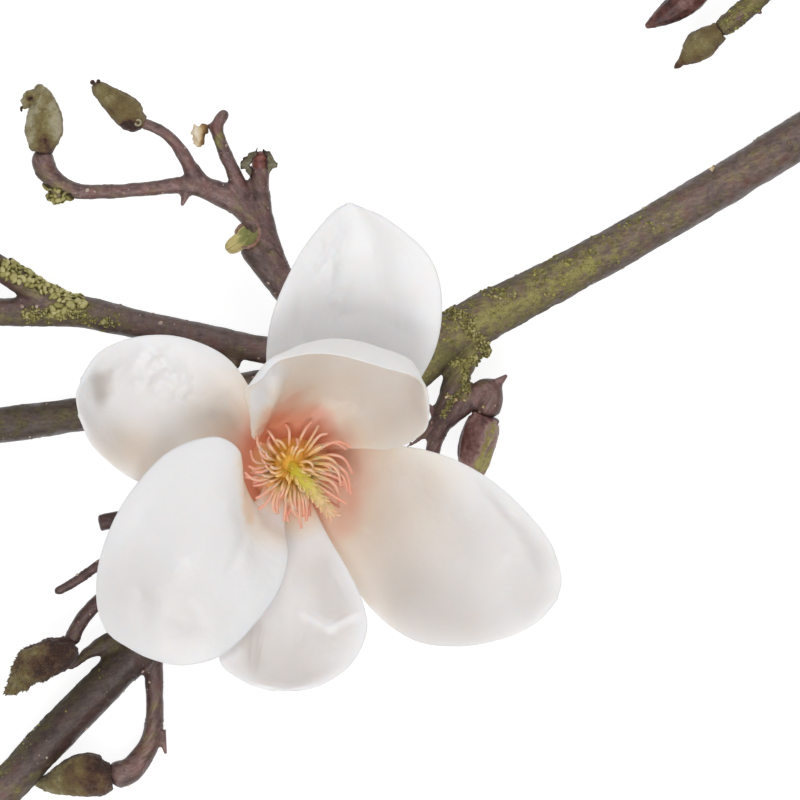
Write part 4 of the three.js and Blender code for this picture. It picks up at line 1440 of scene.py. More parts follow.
@dataclass(frozen=True)
class LooseBits:
    """Curled flakes of bark and lichen that stand off the stem and the side shoot."""

    flakes: tuple[tuple[tuple[float, ...], float, float], ...] = (  # place, size, turn
        ((123.9, 92.4, 13.6), 2.0, 0.9), ((146.6, 99.6, 14.2), 1.4, 0.4), ((142.6, 94.0, 13), 1.1, 2.2),
        ((44.2, 23.6, 14.2), 1.5, 0.6), ((46.8, 22.8, 14.2), 1.3, 1.8), ((49.4, 22.6, 13.6), 1.1, 2.6),
        ((55.0, 20.6, 15.2), 1.0, 1.2), ((52.9, 24.9, 13.4), 1.2, 2.9),
    )

    def build(self) -> None:
        """Adds the flakes."""
        random = np.random.default_rng(57)
        blades = []
        for place, size, turn in self.flakes:
            lead = np.array([math.cos(turn), math.sin(turn), 0.0])
            side = np.array([-math.sin(turn), math.cos(turn), 0.0])
            rows = []
            for share in (0.0, 0.35, 0.7, 1.0):
                for wide in (-1 + 0.4 * share, 0, 1 - 0.5 * share):
                    curl = 0.5 * size * (share * share - 0.3 * abs(wide)) + random.uniform(-0.15, 0.15)
                    flat = np.array(place) + lead * size * (share - 0.5) + side * size * 0.4 * wide
                    rows.append(flat + np.array([0, 0, curl]))
            blades.append(thin_blade(np.array(rows).reshape(4, 3, 3), 9, 12, 0.35, 0.25))
        flakes = join(blades)
        flakes.marks["rim"] = 0.3 + 0.5 * flakes.marks["rim"]
        add_piece("bark_flakes", flakes, bpy.data.materials[PAPER.name], ["wood"])


def thin_blade(rows: Array, columns: int, count: int, thickness: float, rough: float) -> Shape:
    """Makes a small ragged blade from a net of points.

    Args:
        rows: The net, as rows by columns by x, y and z.
        columns: Points across the blade.
        count: Points along it.
        thickness: How thick it is.
        rough: How far noise moves its points.

    Returns:
        The blade, marked with how near each point is to an edge as rim.
    """
    across, along = np.linspace(0, 1, columns), np.linspace(0, 1, count)
    grid = net_surface(rows, across, along)
    normal = unit(np.cross(np.gradient(grid, axis=1), np.gradient(grid, axis=0)))
    flat = grid.reshape(-1, 3)
    push = lattice_noise(flat, 1.6, 12) * rough
    grid = grid + normal * push.reshape(count, columns, 1)
    rim = np.maximum(np.abs(2 * across - 1)[None, :] ** 4, (along[:, None]) ** 6)
    torn = np.stack([lattice_noise(flat, 1.1, seed) for seed in (91, 92, 93)], axis=1)
    grid = grid + 1.6 * rough * rim[..., None] ** 0.5 * torn.reshape(grid.shape)
    half = thickness / 2 * (1 - 0.5 * rim)[..., None]
    return sheet_between(grid + normal * half, grid - normal * half, {"rim": (rim, rim)})


# ------------------------------------------------------------------ the buds


class Coat(Enum):
    """What a bud's outer scales are covered with."""

    FELT = "felt"
    SMOOTH = "smooth"
    RAGGED = "ragged"


@dataclass(frozen=True)
class Hair:
    """How the felted hairs or the torn flakes of a coat stand."""

    spacing: float
    spread: float  # how far they stand off the scale, as a share of how far they lean ahead
    length: float
    wide: float
    flat: float


HAIRS = {
    Coat.FELT: Hair(spacing=0.3, spread=0.35, length=0.6, wide=0.06, flat=0.06),
    Coat.RAGGED: Hair(spacing=0.62, spread=0.7, length=1.0, wide=0.42, flat=0.14),
}


@dataclass(frozen=True)
class Bud:
    """One bud, from its seat on a twig to its point."""

    name: str
    route: Route
    coat: Coat
    seam: float = 0.6
    collars: tuple[float, ...] = ()
    tones: tuple[float, ...] = (0.2, 0.55, 0.7)  # from foot to point
    stains: tuple[Patch, ...] = ()

    def body(self) -> Shape:
        """Wraps the bud's scales round each other, with a seam from foot to point.

        Returns:
            The bud, marked with its tone.
        """
        sides = 84
        body = sweep(np.array(self.route), sides, 0.26, False, True)
        along, turn, girth = (body.marks[name] for name in ("along", "turn", "girth"))
        total = along.max()
        share = along / total
        lapped = (turn - self.seam - 0.9 * share) % (2 * math.pi)
        edge = np.exp(-((np.minimum(lapped, 2 * math.pi - lapped) / 0.13) ** 2))
        belly = np.sin(math.pi * np.clip(share, 0, 1))
        push = 0.28 * (1 - lapped / (2 * math.pi)) * belly**0.5 - 0.32 * edge * belly
        push += 0.12 * girth / 4 * np.sin(9 * turn + 2 * share) * belly
        for collar in self.collars:
            push -= 0.34 * np.exp(-(((along - collar) / 0.4) ** 2))
            push += 0.2 * np.exp(-(((along - collar + 0.8) / 0.5) ** 2))
        rough = {Coat.FELT: 0.24, Coat.SMOOTH: 0.1, Coat.RAGGED: 0.45}[self.coat]
        lumps = rough * lattice_noise(body.points, 1.3, 14)
        push += lumps + rough * 0.6 * lattice_noise(body.points, 0.7, 15)
        if self.coat is Coat.RAGGED:
            push += 0.6 * smooth_step(share, 0.3, 0.5) * lattice_noise(body.points, 1.9, 17)
        normals = body.normals()
        points = body.points + normals * push[:, None]
        tone = np.interp(share, np.linspace(0, 1, len(self.tones)), self.tones)
        # painted shade: the bud is darker where its skin faces sideways and down
        tone -= 0.3 * (1 - smooth_step(normals[:, 2], -0.1, 0.6))
        tone += 0.22 * lattice_noise(body.points, 3.2, 16) + 0.12 * lattice_noise(body.points, 1.1, 18)
        stained = summed(self.stains, body.points)
        tone += stained * (1 + 0.8 * lattice_noise(body.points, 0.7, 19))
        return Shape(points, body.faces, {"tone": np.clip(tone - 0.35 * edge * belly, 0, 1)})

    def hairs(self, body: Shape) -> Shape:
        """Makes felted hairs, or torn flakes on a ragged bud, that lean towards its point.

        Args:
            body: The bud that they grow on.

        Returns:
            The hairs, marked with their tone.
        """
        route = np.array(self.route)
        ahead = route[-1, :3] - route[0, :3]
        ahead /= np.linalg.norm(ahead)
        hair, ragged = HAIRS[self.coat], self.coat is Coat.RAGGED
        far = (body.points - route[0, :3]) @ ahead / np.linalg.norm(route[-1, :3] - route[0, :3])
        weight = smooth_step(far, 0.3, 0.6) if ragged else smooth_step(body.marks["tone"], 0.05, 0.4)
        spots = surface_spots(body, weight, hair.spacing, 40000, 61)
        random = np.random.default_rng(62)
        normals = body.normals()[spots]
        lean = unit(normals * hair.spread + ahead + random.normal(0, 0.25, (len(spots), 3)))
        length = random.uniform(0.4, 1.0, len(spots)) * hair.length
        side = unit(np.cross(lean, normals))
        other = np.cross(lean, side)
        foot = body.points[spots] - normals * 0.1
        front, back = foot + side * hair.wide, foot - side * hair.wide * 0.5
        tip, rise = foot + lean * length[:, None], other * hair.flat
        cloud = np.stack([front, back + rise, back - rise, tip], axis=1)
        trio = np.array([(0, 1, 3), (1, 2, 3), (2, 0, 3), (0, 2, 1)])
        faces = trio[None] + (np.arange(len(spots)) * 4)[:, None, None]
        tone = np.clip(body.marks["tone"][spots] + random.uniform(-0.12, 0.3, len(spots)), 0, 1)
        return Shape(cloud.reshape(-1, 3), faces.reshape(-1, 3), {"tone": np.repeat(tone, 4)})

    def build(self) -> None:
        """Adds the bud and its hairs."""
        body = self.body()
        finish = SCALE if self.coat is Coat.SMOOTH else FELT
        material = bpy.data.materials.get(finish.name) or finish.make()
        add_piece(self.name, body, material, [self.name])
        if self.coat is not Coat.SMOOTH:
            add_piece(self.name + "_hairs", self.hairs(body), material, [self.name])


BUDS = (
    Bud(
        "bud_upright",
        (
            (-77.5, 97.1, 21.35, 3.2), (-77.3, 99.5, 21.7, 4.4), (-76.9, 103.5, 21.8, 5.5),
            (-76.8, 109, 21.8, 4.7), (-77, 112.5, 21.8, 3.3), (-78, 115.5, 21.6, 1.9),
            (-78.4, 117.3, 21.4, 0.7),
        ),
        Coat.FELT, seam=2.3, tones=(0.5, 0.82, 0.86, 0.7),
        stains=patches(
            (-77.8, 109, -76.8, 99, 2.8, -0.2), (-76.6, 100.5, -75.8, 97.6, 2.0, -0.2),
            (-80.4, 108, -80.2, 100, 2.2, 0.2), (-73.8, 110, -72.4, 101, 2.4, 0.16),
        ),
    ),
    Bud(
        "bud_upper",
        (
            (-46.9, 105.6, 23.2, 2.1), (-49.3, 106.6, 23.4, 3.9), (-52.2, 109.2, 23.7, 4.5),
            (-56.4, 112.7, 24, 3.5), (-60, 115.7, 24.2, 2.4), (-61.9, 117.4, 24.2, 1.7),
        ),
        Coat.FELT, seam=0.4, tones=(0.5, 0.55, 0.62, 0.55),
        stains=patches(
            (-52.4, 104.8, -49.4, 103.6, 2.2, -0.9), (-62.5, 117.6, -61.2, 118.4, 1.2, -0.5),
        ),
    ),
    Bud(
        "bud_right",
        (
            (56, 17.9, 10.9, 3.8), (55.3, 16, 10.7, 4.8), (54.3, 12.6, 10.5, 5.4), (53, 8, 10.2, 5.3),
            (52.3, 3.2, 10, 4.5), (51.8, -1.2, 9.8, 2.6), (51.6, -4, 9.7, 0.8),
        ),
        Coat.SMOOTH, seam=3.6, collars=(1.3,), tones=(0.3, 0.34, 0.4, 0.34),
        stains=patches((58, 14.5, 55.2, 3.5, 2.6, 0.62), (55.2, 3.5, 52.4, -3.5, 3.3, 0.6)),
    ),
    Bud(
        "bud_left_low",
        (
            (-69, -50.3, 11.4, 3.2), (-71.3, -52.8, 11.7, 4.9), (-76.3, -55.4, 12, 5.5),
            (-81.2, -57.8, 12, 5.3), (-84.8, -62.3, 11.8, 3.0), (-88.7, -66.5, 11.4, 0.5),
        ),
        Coat.RAGGED, seam=1.0, tones=(0.02, 0.04, 0.2, 0.56, 0.52),
        stains=patches((-82, -53, -77, -52, 2.6, 0.25)),
    ),
    Bud(
        "bud_low",
        (
            (-56.9, -90.6, 7, 4.0), (-60, -90.9, 7.1, 5.7), (-64.4, -90.3, 7.3, 6.5),
            (-69.3, -91.2, 6.5, 5.4), (-74.2, -92.6, 4.7, 3.5), (-78.2, -92.9, 2.7, 1.6),
            (-80, -93.2, 1.9, 0.7),
        ),
        Coat.FELT, seam=1.7, tones=(0.12, 0.26, 0.5, 0.66, 0.6),
        stains=patches((-58, -88, -63, -88, 3, -0.2)),
    ),
    Bud(
        "bud_end_low",
        (
            (126.3, 133.5, 10.2, 2.9), (123.5, 131.6, 10.2, 3.7), (120.3, 129.3, 10.1, 4.4),
            (117.6, 126.8, 9.9, 3.4), (115.2, 124.7, 9.7, 1.7), (112.5, 122.2, 9.5, 0.3),
        ),
        Coat.FELT, seam=0.2, tones=(0.48, 0.54, 0.5, 0.26),
    ),
    Bud(
        "bud_end_high",
        (
            (123.9, 149.7, 13.2, 2.7), (121, 147.2, 13, 3.8), (117, 143.7, 12.8, 4.4),
            (112.8, 140.3, 12.4, 3.8), (108, 137.2, 12.2, 2.4), (103.8, 134.7, 12, 0.6),
        ),
        Coat.SMOOTH, seam=2.2, collars=(1.4,), tones=(0.22, 0.2, 0.16, 0.12),
    ),
)


@dataclass(frozen=True)
class LooseScales:
    """The torn scale that curls off the upright bud, the dry one, and a bud's ring and knobs."""

    curled: Route = (
        (-78.4, 111.4, 22.4, 2.2), (-80.4, 113.5, 23.2, 2.3), (-82, 112.2, 23.4, 1.8),
        (-82.6, 110, 23.4, 0.8),
    )
    hollow: tuple[float, float] = (-80.9, 112.9)
    dry: tuple[Route, ...] = (
        ((-28.6, 105.4, 25.4), (-27.9, 105.1, 25.1), (-27.4, 104.6, 25.3)),
        ((-32, 104.4, 26), (-30.2, 103.4, 25), (-28, 103.4, 25.8)),
        ((-32.3, 101.5, 26.2), (-30.3, 101.2, 25), (-28.3, 101.2, 26.2)),
        ((-31.8, 98.9, 26.4), (-30.2, 98.7, 25.4), (-28.7, 99, 26.4)),
    )
    ring: tuple[float, float, float, float] = (-48.6, 105.7, 26.8, 0.85)  # place and radius
    knobs: tuple[Route, ...] = (
        ((-61.6, 117.4, 25.2, 0.8), (-62.9, 118.2, 25.4, 0.75)),
        ((-60.2, 117.4, 25.4, 0.7), (-60.7, 118.7, 25.4, 0.6)),
        ((-82.4, 110.4, 23.2, 0.6), (-83.6, 110.2, 22.8, 0.45), (-83.6, 109.0, 22.6, 0.3)),
    )

    def build(self) -> None:
        """Adds the scales, the ring and the knobs."""
        felt = bpy.data.materials[FELT.name]
        curl = sweep(np.array(self.curled), 40, 0.2, True, True)
        apart = np.linalg.norm(curl.points[:, :2] - self.hollow, axis=1)
        dent = np.exp(-((apart / 0.8) ** 2)) * (curl.normals()[:, 2] > 0.2)
        push = 0.45 * lattice_noise(curl.points, 0.9, 71) - 1.3 * dent
        curl.points = curl.points + curl.normals() * push[:, None]
        tone = 0.72 - 1.1 * dent + 0.2 * lattice_noise(curl.points, 0.8, 72)
        curl.marks = {"tone": np.clip(tone, 0, 1)}
        add_piece("bud_upright_torn_scale", curl, felt, ["bud_upright"])
        turns = np.linspace(0, 2 * math.pi, 15)
        x, y, z, radius = self.ring
        round_ring = [(x + radius * math.cos(t), y + radius * math.sin(t), z, 0.34) for t in turns]
        scar = sweep(np.array(round_ring), 12, 0.25, False, False)
        scar.marks = {"tone": np.full(len(scar.points), 0.95)}
        add_piece("bud_upper_ring", scar, felt, ["bud_upper"])
        knobs = join([sweep(np.array(route), 14, 0.2, True, True) for route in self.knobs])
        knobs.marks = {"tone": np.full(len(knobs.points), 0.05)}
        add_piece("bud_dark_knobs", knobs, felt, ["bud_upper"])
        scale = thin_blade(np.array(self.dry), 24, 30, 0.5, 0.4)
        east = smooth_step(scale.points[:, 0], -31.2, -28.2)
        scale.marks["rim"] = np.clip(0.75 * east + 0.3 * scale.marks["rim"], 0, 1)
        add_piece("dry_scale", scale, PAPER.make(), ["dry_scale"])


# ------------------------------------------------------------------ the flower


@dataclass(frozen=True)
class Fold:
    """A crease, hollow or swelling of a tepal, seen from above, and how far it lifts the blade."""

    start: tuple[float, float]
    end: tuple[float, float]
    width: float
    height: float

    def lift(self, points: Array) -> Array:
        """Lifts the blade: most in the fold's middle, and less towards both ends.

        Args:
            points: The blade's points.

        Returns:
            How far each point is lifted.
        """
        start, end = np.array(self.start), np.array(self.end)
        length = max(np.linalg.norm(end - start), 1e-6)
        ahead = (end - start) / length
        offset = points[:, :2] - (start + end) / 2
        far, aside = offset @ ahead, offset @ np.array([-ahead[1], ahead[0]])
        reach = length / 2 + self.width
        return self.height * np.exp(-((aside / self.width) ** 2) - (far / reach) ** 2)


@dataclass(frozen=True)
class Tepal:
    """One tepal: a net of points from foot to tip, and what bends, creases and colours it."""

    name: str
    seat: tuple[float, float, float]  # angle in degrees, height and width of its foot on the core
    wave: float
    rows: tuple[Route, ...]
    folds: tuple[Fold, ...] = ()
    wrinkled: tuple[Patch, ...] = ()
    beige_and_shade: tuple[Patch, ...] = ()  # painted shade in hollows, gullies and under the hood, and also where the flesh is a dull beige; a negative strength paints a highlight
    flushed: tuple[Patch, ...] = ()
    blush: tuple[float, float, float, float] = (9, 14, 20, 28)  # how far each colour reaches, in mm
    dull: float = 0.1  # how much greyer the middle of the blade is painted than its margins: partly beige flesh, partly painted shade
    thickness: float = 1.0
    columns: int = 98
    count: int = 114

    def _foot(self) -> list[Array]:
        """Lays the foot along the core's side, in the order of the first row.

        Returns:
            The points of the foot's row.
        """
        angle, height, width = self.seat
        turn = math.radians(angle)
        out = np.array([math.cos(turn), math.sin(turn), 0.0])
        side = np.array([-out[1], out[0], 0.0])
        first = np.array(self.rows[0], float)
        order = math.copysign(1, side @ (first[-1] - first[0]))
        middle = np.array([*FLOWER_CENTRE[:2], height]) + out * (CORE_RADIUS + CLEARANCE + 0.5)
        shares = np.linspace(-0.5, 0.5, len(first)) * order * width
        return [middle + side * share for share in shares]

    def _lift(self, flat: Array, along: Array, margin: Array) -> Array:
        """Adds up the folds, swellings, blisters and wrinkles.

        Args:
            flat: The blade's points.
            along: How far each row is from foot to tip.
            margin: How near each point is to a margin.

        Returns:
            How far each point is lifted.
        """
        lift = sum((fold.lift(flat) for fold in self.folds), np.zeros(len(flat)))
        inner = (smooth_step(along, 0.1, 0.3)[:, None] * (1 - margin**6)).ravel()
        lift += inner * (0.5 * lattice_noise(flat, 12, 31) + 0.18 * lattice_noise(flat, 5, 32))
        lift += inner * 0.05 * lattice_noise(flat, 2.4, 34)
        rough = summed(self.wrinkled, flat)
        wrinkles = 0.42 * lattice_noise(flat, 3.1, 35) + 0.16 * lattice_noise(flat, 1.6, 36)
        lift += inner * rough * wrinkles
        return lift - 0.5 * (margin**10 * smooth_step(along, 0.15, 0.5)[:, None]).ravel()

    def shape(self) -> Shape:
        """Builds the blade, thick along its middle and thin at its margins.

        Returns:
            The blade, with the marks that its finish reads.
        """
        across, along = np.linspace(0, 1, self.columns), np.linspace(0, 1, self.count)
        net = np.array([self._foot(), *self.rows], float)
        grid = net_surface(net, across, along)
        margin = np.tile(np.abs(2 * across - 1), (self.count, 1))
        waved = margin**4 * (along * (1 - along) * 4)[:, None]
        phase = 9 * along[:, None] + 5 * across[None, :] + self.seat[0]
        grid[..., 2] += self.wave * waved * np.sin(phase)
        normal = unit(np.cross(np.gradient(grid, axis=1), np.gradient(grid, axis=0)))
        above = np.array([*FLOWER_CENTRE[:2], 80.0])
        facing = 1.0 if np.sum(normal * (above - grid)) > 0 else -1.0
        flat = grid.reshape(-1, 3)
        lift = self._lift(flat, along, margin)
        grid = grid + facing * normal * lift.reshape(self.count, self.columns, 1)
        edge = np.maximum(margin**8, along[:, None] ** 24)
        half = (self.thickness / 2 * (1 - 0.68 * edge))[..., None]
        girth = np.linalg.norm(np.diff(grid, axis=1), axis=2).sum(axis=1).mean()
        length = np.linalg.norm(np.diff(grid, axis=0), axis=2).sum(axis=0).mean()
        full = np.ones_like(margin)
        vein = np.stack([
            (across[None, :] - 0.5) * girth * full, along[:, None] * length * 0.12 * full,
            full * self.seat[0],
        ], axis=2)
        glow = self._blush(flat).reshape(margin.shape)
        middle = smooth_step(along, 0.08, 0.3) * (1 - smooth_step(along, 0.82, 1.0))
        # painted shade, partly beige flesh: a greyer middle and the listed patches; negative patches
        # lighten as a painted highlight
        dark = self.dull * (1 - margin**3) * middle[:, None]
        dark += summed(self.beige_and_shade, flat).reshape(margin.shape)
        dark = np.clip(dark, 0, 1)
        faint = glow * 0.3
        shape = sheet_between(
            grid + normal * half, grid - normal * half,
            {
                "blush": (glow, faint) if facing > 0 else (faint, glow),
                "bruise": (dark, 0 * dark) if facing > 0 else (0 * dark, dark),
            },
        )
        shape.marks["vein"] = np.concatenate([vein.reshape(-1, 3)] * 2)
        return shape

    def _blush(self, flat: Array) -> Array:
        """Flushes the blade: deep near the stamens, salmon, beige, then white.

        Args:
            flat: The blade's points.

        Returns:
            How flushed each point is.
        """
        away = np.linalg.norm(flat[:, :2] - FLUSH_CENTRE, axis=1)
        fade = np.interp(away, (0, *self.blush), (1.0, 0.9, 0.62, 0.3, 0.0))
        for patch in self.flushed:
            share = patch.share(flat)
            fade = np.where(share > 0, np.maximum(fade, share), fade + share)
        return np.clip(fade * (1 + 0.12 * lattice_noise(flat, 6, 37)), 0, 1)

    def build(self) -> None:
        """Adds the tepal."""
        material = bpy.data.materials.get(TepalFinish.name) or TepalFinish().make()
        add_piece(self.name, self.shape(), material, [self.name])


TEPALS = (
    Tepal(
        "tepal_top", (90, 23.8, 6.6), 0.8,
        (
            ((-7, 16.5, 30), (6.5, 19.5, 27), (24, 15, 30)),
            ((-10, 34, 39), (14, 36, 34.5), (38.5, 33, 39)),
            ((-7.5, 49.5, 45), (16.5, 51, 39.5), (42.5, 49.5, 45)),
            ((0, 65.5, 47), (17.5, 66, 43.5), (39, 64.5, 48)),
            ((9.5, 78, 48.5), (17, 77, 47.5), (26.5, 76, 49)),
            ((14, 81, 49), (15, 81.4, 49), (16, 81, 49)),
        ),
        (
            Fold((0, 52.5), (0, 43.5), 2.0, -0.7), Fold((0, 43.5), (3, 36), 2.0, -0.6),
            Fold((8, 66), (10, 57), 3.5, 0.6), Fold((30, 62), (34, 50), 5, 0.7),
            Fold((18, 74), (22, 60), 6, -0.5),
        ),
        wrinkled=patches((7, 67, 13, 53, 8, 1.4), (22, 60, 30, 48, 8, 0.4)),
        blush=(8, 12, 16, 22), dull=0.02,
    ),
    Tepal(
        "tepal_left", (172, 22.4, 6.6), 0.9,
        (
            ((-12, 20, 30.5), (-15, 9, 27), (-13, -9.5, 26)),
            ((-20.5, 34, 35.5), (-26, 17, 30), (-22.5, -8.5, 29.4)),
            ((-33, 40.5, 38), (-37.5, 20.5, 31.5), (-35.5, -4, 33.5)),
            ((-46.5, 41.5, 40), (-49, 21.5, 33), (-48.5, -1.5, 36.5)),
            ((-59, 37, 42.5), (-59, 23, 36.5), (-60.8, 8, 41)),
            ((-65.2, 28.6, 44), (-66.8, 23.5, 43.5), (-65.8, 18, 44)),
        ),
        (
            Fold((-42, 36.5), (-37, 28), 3.2, 0.9), Fold((-48, 33), (-46, 30), 2.5, 0.6),
            Fold((-60, 28), (-59, 23), 2.6, -0.8), Fold((-30, 30), (-26, 20), 4, 0.4),
            Fold((-52, 14), (-40, 4), 6, -0.7),
        ),
        wrinkled=patches((-43, 36, -38, 26, 8, 1.3), (-54, 33, -46, 28, 7, 0.8)),
        beige_and_shade=patches(
            (-59.2, 28.5, -59.0, 24.5, 4.2, 0.46), (-54, 6, -42, 1, 14, 0.16),
            (-27, 26, -24, 18, 16, 0.22), (-62, 14, -46, 14, 18, 0.16),
        ),
        flushed=patches((-50, 8, -38, 0, 12, 0.26)),
        blush=(13, 17.5, 25, 38), dull=0.09,
    ),
    Tepal(
        "tepal_right", (-18, 22.4, 7.6), 0.8,
        (
            ((9, -20.5, 26), (14.5, -6, 26.5), (13.5, 9, 29.5)),
            ((20, -38.5, 29.5), (28.5, -13.5, 29.5), (31.5, 8.5, 35)),
            ((33, -49, 33.5), (41, -19.5, 32), (45, 5, 39)),
            ((46.5, -51.3, 37), (53, -25, 35), (57, -1.5, 42)),
            ((60, -49, 40), (63.5, -29, 38), (66.5, -10, 43.5)),
            ((70.5, -44, 42.5), (72, -31.5, 41), (74, -19, 44)),
            ((77, -37, 44), (78.2, -32, 43.6), (77.5, -27, 44.2)),
        ),
        (
            Fold((47, 2.4), (63, -14.4), 3.4, -0.9), Fold((63, -14.4), (72, -31.5), 3.4, -0.8),
            Fold((59, -6.6), (64, -12.6), 1.8, 0.9), Fold((54, -22), (58, -25), 5, 1.1),
            Fold((18.3, -14.4), (19.4, -16), 1.0, 0.7), Fold((17, 5), (27, 3), 4, 0.6),
            Fold((36, -2), (36, -30), 7, -0.6), Fold((42, -44), (58, -44), 6, -0.6),
        ),
        wrinkled=patches((56, -20, 64, -30, 7, 0.3)),
        beige_and_shade=patches((18, -4, 25, -30, 26, 0.22), (30, -42, 48, -48, 18, 0.2)),
        flushed=patches((15, 3, 13, -14, 12, 0.66)),
        blush=(13, 20.5, 34, 60), dull=0.22,
    ),
    Tepal(
        "tepal_hood", (84, 27, 6.6), 0.3,
        (
            ((-13.4, 10.6, 38.5), (-9, 14.5, 36), (2, 15.5, 33.5), (12, 12.5, 34.5), (17, 8, 37)),
            ((-14.4, 13.2, 44), (-9.4, 18, 46.5), (6, 24, 38.5), (22, 19, 39), (28, 8, 43.5)),
            ((-14.9, 17.6, 49.5), (-8, 23, 55.5), (9, 32, 46.5), (29, 26, 45.5), (36.5, 12.5, 50)),
            ((-16.5, 23.8, 55), (-7, 31, 61), (10, 38.5, 54), (31.5, 32, 53.5), (38.2, 18, 55)),
            ((-14.6, 26.5, 58.5), (-7, 35, 63.5), (10.5, 40.5, 60.5), (31, 34.5, 60), (38, 24.5, 58.5)),
            ((-11.5, 28.5, 60.5), (-5, 34.5, 65), (9, 36, 65.5), (26.5, 31.5, 64.5), (36.5, 28.8, 61.5)),
        ),
        (
            Fold((-12.8, 12.5), (-9.0, 21.4), 1.3, 1.2), Fold((-9.0, 21.4), (-6.0, 29), 1.6, 1.0),
            Fold((-6.5, 25), (4, 26.8), 1.0, 0.4),
        ),
        beige_and_shade=patches((8, 30, 26, 22, 30, 0.24), (-9, 31, -13, 16, 6, 0.2)),
        flushed=patches(
            (-6.5, 25.5, 4, 26.8, 1.3, 0.45), (-6.2, 21, -10.4, 11, 3.4, 0.72),
            (-10, 13, 4, 15, 14, 1.0), (-8, 32, -12, 24, 4.5, -0.3), (-12, 24, -14.6, 13, 3.0, -0.5),
        ),
        blush=(12.5, 17, 27, 70), dull=0.04,
    ),
    Tepal(
        "tepal_lower_left", (222, 27.2, 6), 0.7,
        (
            ((-13.5, -8, 33), (-9.5, -12, 31), (-4.5, -15.5, 30.5)),
            ((-17, -1, 40), (-13, -14.5, 35.5), (-3.5, -24, 34)),
            ((-18, 7.5, 44), (-17, -16.5, 39), (-5.5, -33, 36.5)),
            ((-26, 11.5, 46), (-22, -19.5, 42.5), (-11.5, -42.5, 38.5)),
            ((-40, 6.5, 45), (-31, -25.5, 44), (-22.5, -53.5, 38.5)),
            ((-53, -8.5, 41), (-42, -32.5, 42), (-34.5, -57, 37.5)),
            ((-60, -25, 37), (-51, -39.5, 38.5), (-45, -55, 35.5)),
            ((-61, -38.5, 34), (-56.5, -44.5, 34.5), (-53, -51, 33.5)),
            ((-58.5, -45.5, 32.5), (-57.8, -47, 32.8), (-56.5, -48.3, 32.5)),
        ),
        (
            Fold((-31, -22), (-35, -26), 5, 1.0), Fold((-48, -35), (-46, -38), 3.4, -0.9),
            Fold((-37, -41.4), (-33, -44), 3.4, -0.9), Fold((-17.7, -20.7), (-21, -29.7), 1.9, -0.6),
            Fold((-44, -8), (-50, -30), 6, -0.7),
        ),
        wrinkled=patches((-30, -20, -34, -28, 6, 0.4)),
        beige_and_shade=patches((-50, -34, -32, -46, 14, 0.14)),
        flushed=patches(
            (-17, 4.5, -15.2, -13.5, 2.6, 0.4), (-13.2, -14.5, -7, -18.5, 6.0, 0.2),
        ),
        blush=(7, 10, 13, 17), dull=0.08,
    ),
    Tepal(
        "tepal_bottom", (276, 24.8, 6), 0.7,
        (
            ((-6.5, -14.5, 27.6), (1.5, -17.5, 26.6), (7.5, -16.5, 28.2)),
            ((-8, -25.5, 29.5), (2.5, -28.5, 27.8), (14, -28, 32)),
            ((-13.5, -36, 31.5), (2, -39, 30), (18.8, -38.5, 35)),
            ((-21, -47, 33.5), (0.5, -49.5, 33), (20, -47, 37)),
            ((-24, -55.5, 36), (-1.5, -58, 36), (15.8, -56, 38.5)),
            ((-16.5, -61.5, 38.5), (-4, -62.8, 38.5), (7.5, -62, 39.5)),
            ((-7.5, -64.3, 40), (-5, -64.7, 40), (-2.5, -64.5, 40)),
        ),
        (
            Fold((-0.3, -40.8), (9.9, -46.2), 1.0, 0.6), Fold((8.4, -46.0), (16.8, -41.5), 1.0, 0.6),
            Fold((-11.2, -44), (-13.4, -58), 0.6, -0.4), Fold((-14.2, -46), (-14.6, -56), 0.7, -0.35),
            Fold((-4, -34), (-3, -46), 3.0, -0.4), Fold((5.5, -27), (12, -40), 3.6, -0.5),
            Fold((-8, -52), (4, -54), 6, -0.4), Fold((9, -27), (13.5, -36), 0.9, 0.3),
        ),
        wrinkled=patches((4, -44, 10, -50, 6, 0.6)),
        beige_and_shade=patches(
            (-14, -47, -14, -56, 4.5, 0.16), (5.5, -30, 11, -40, 7, 0.12), (-14, -52, -6, -56, 12, 0.14),
            # painted highlight: these negative patches lighten the ridge of the V crease
            (1.5, -42, 9.9, -46.2, 2.4, -0.16), (9.4, -46.0, 15.8, -42.5, 2.4, -0.16),
        ),
        blush=(9, 14, 19, 24), dull=0.24,
    ),
)


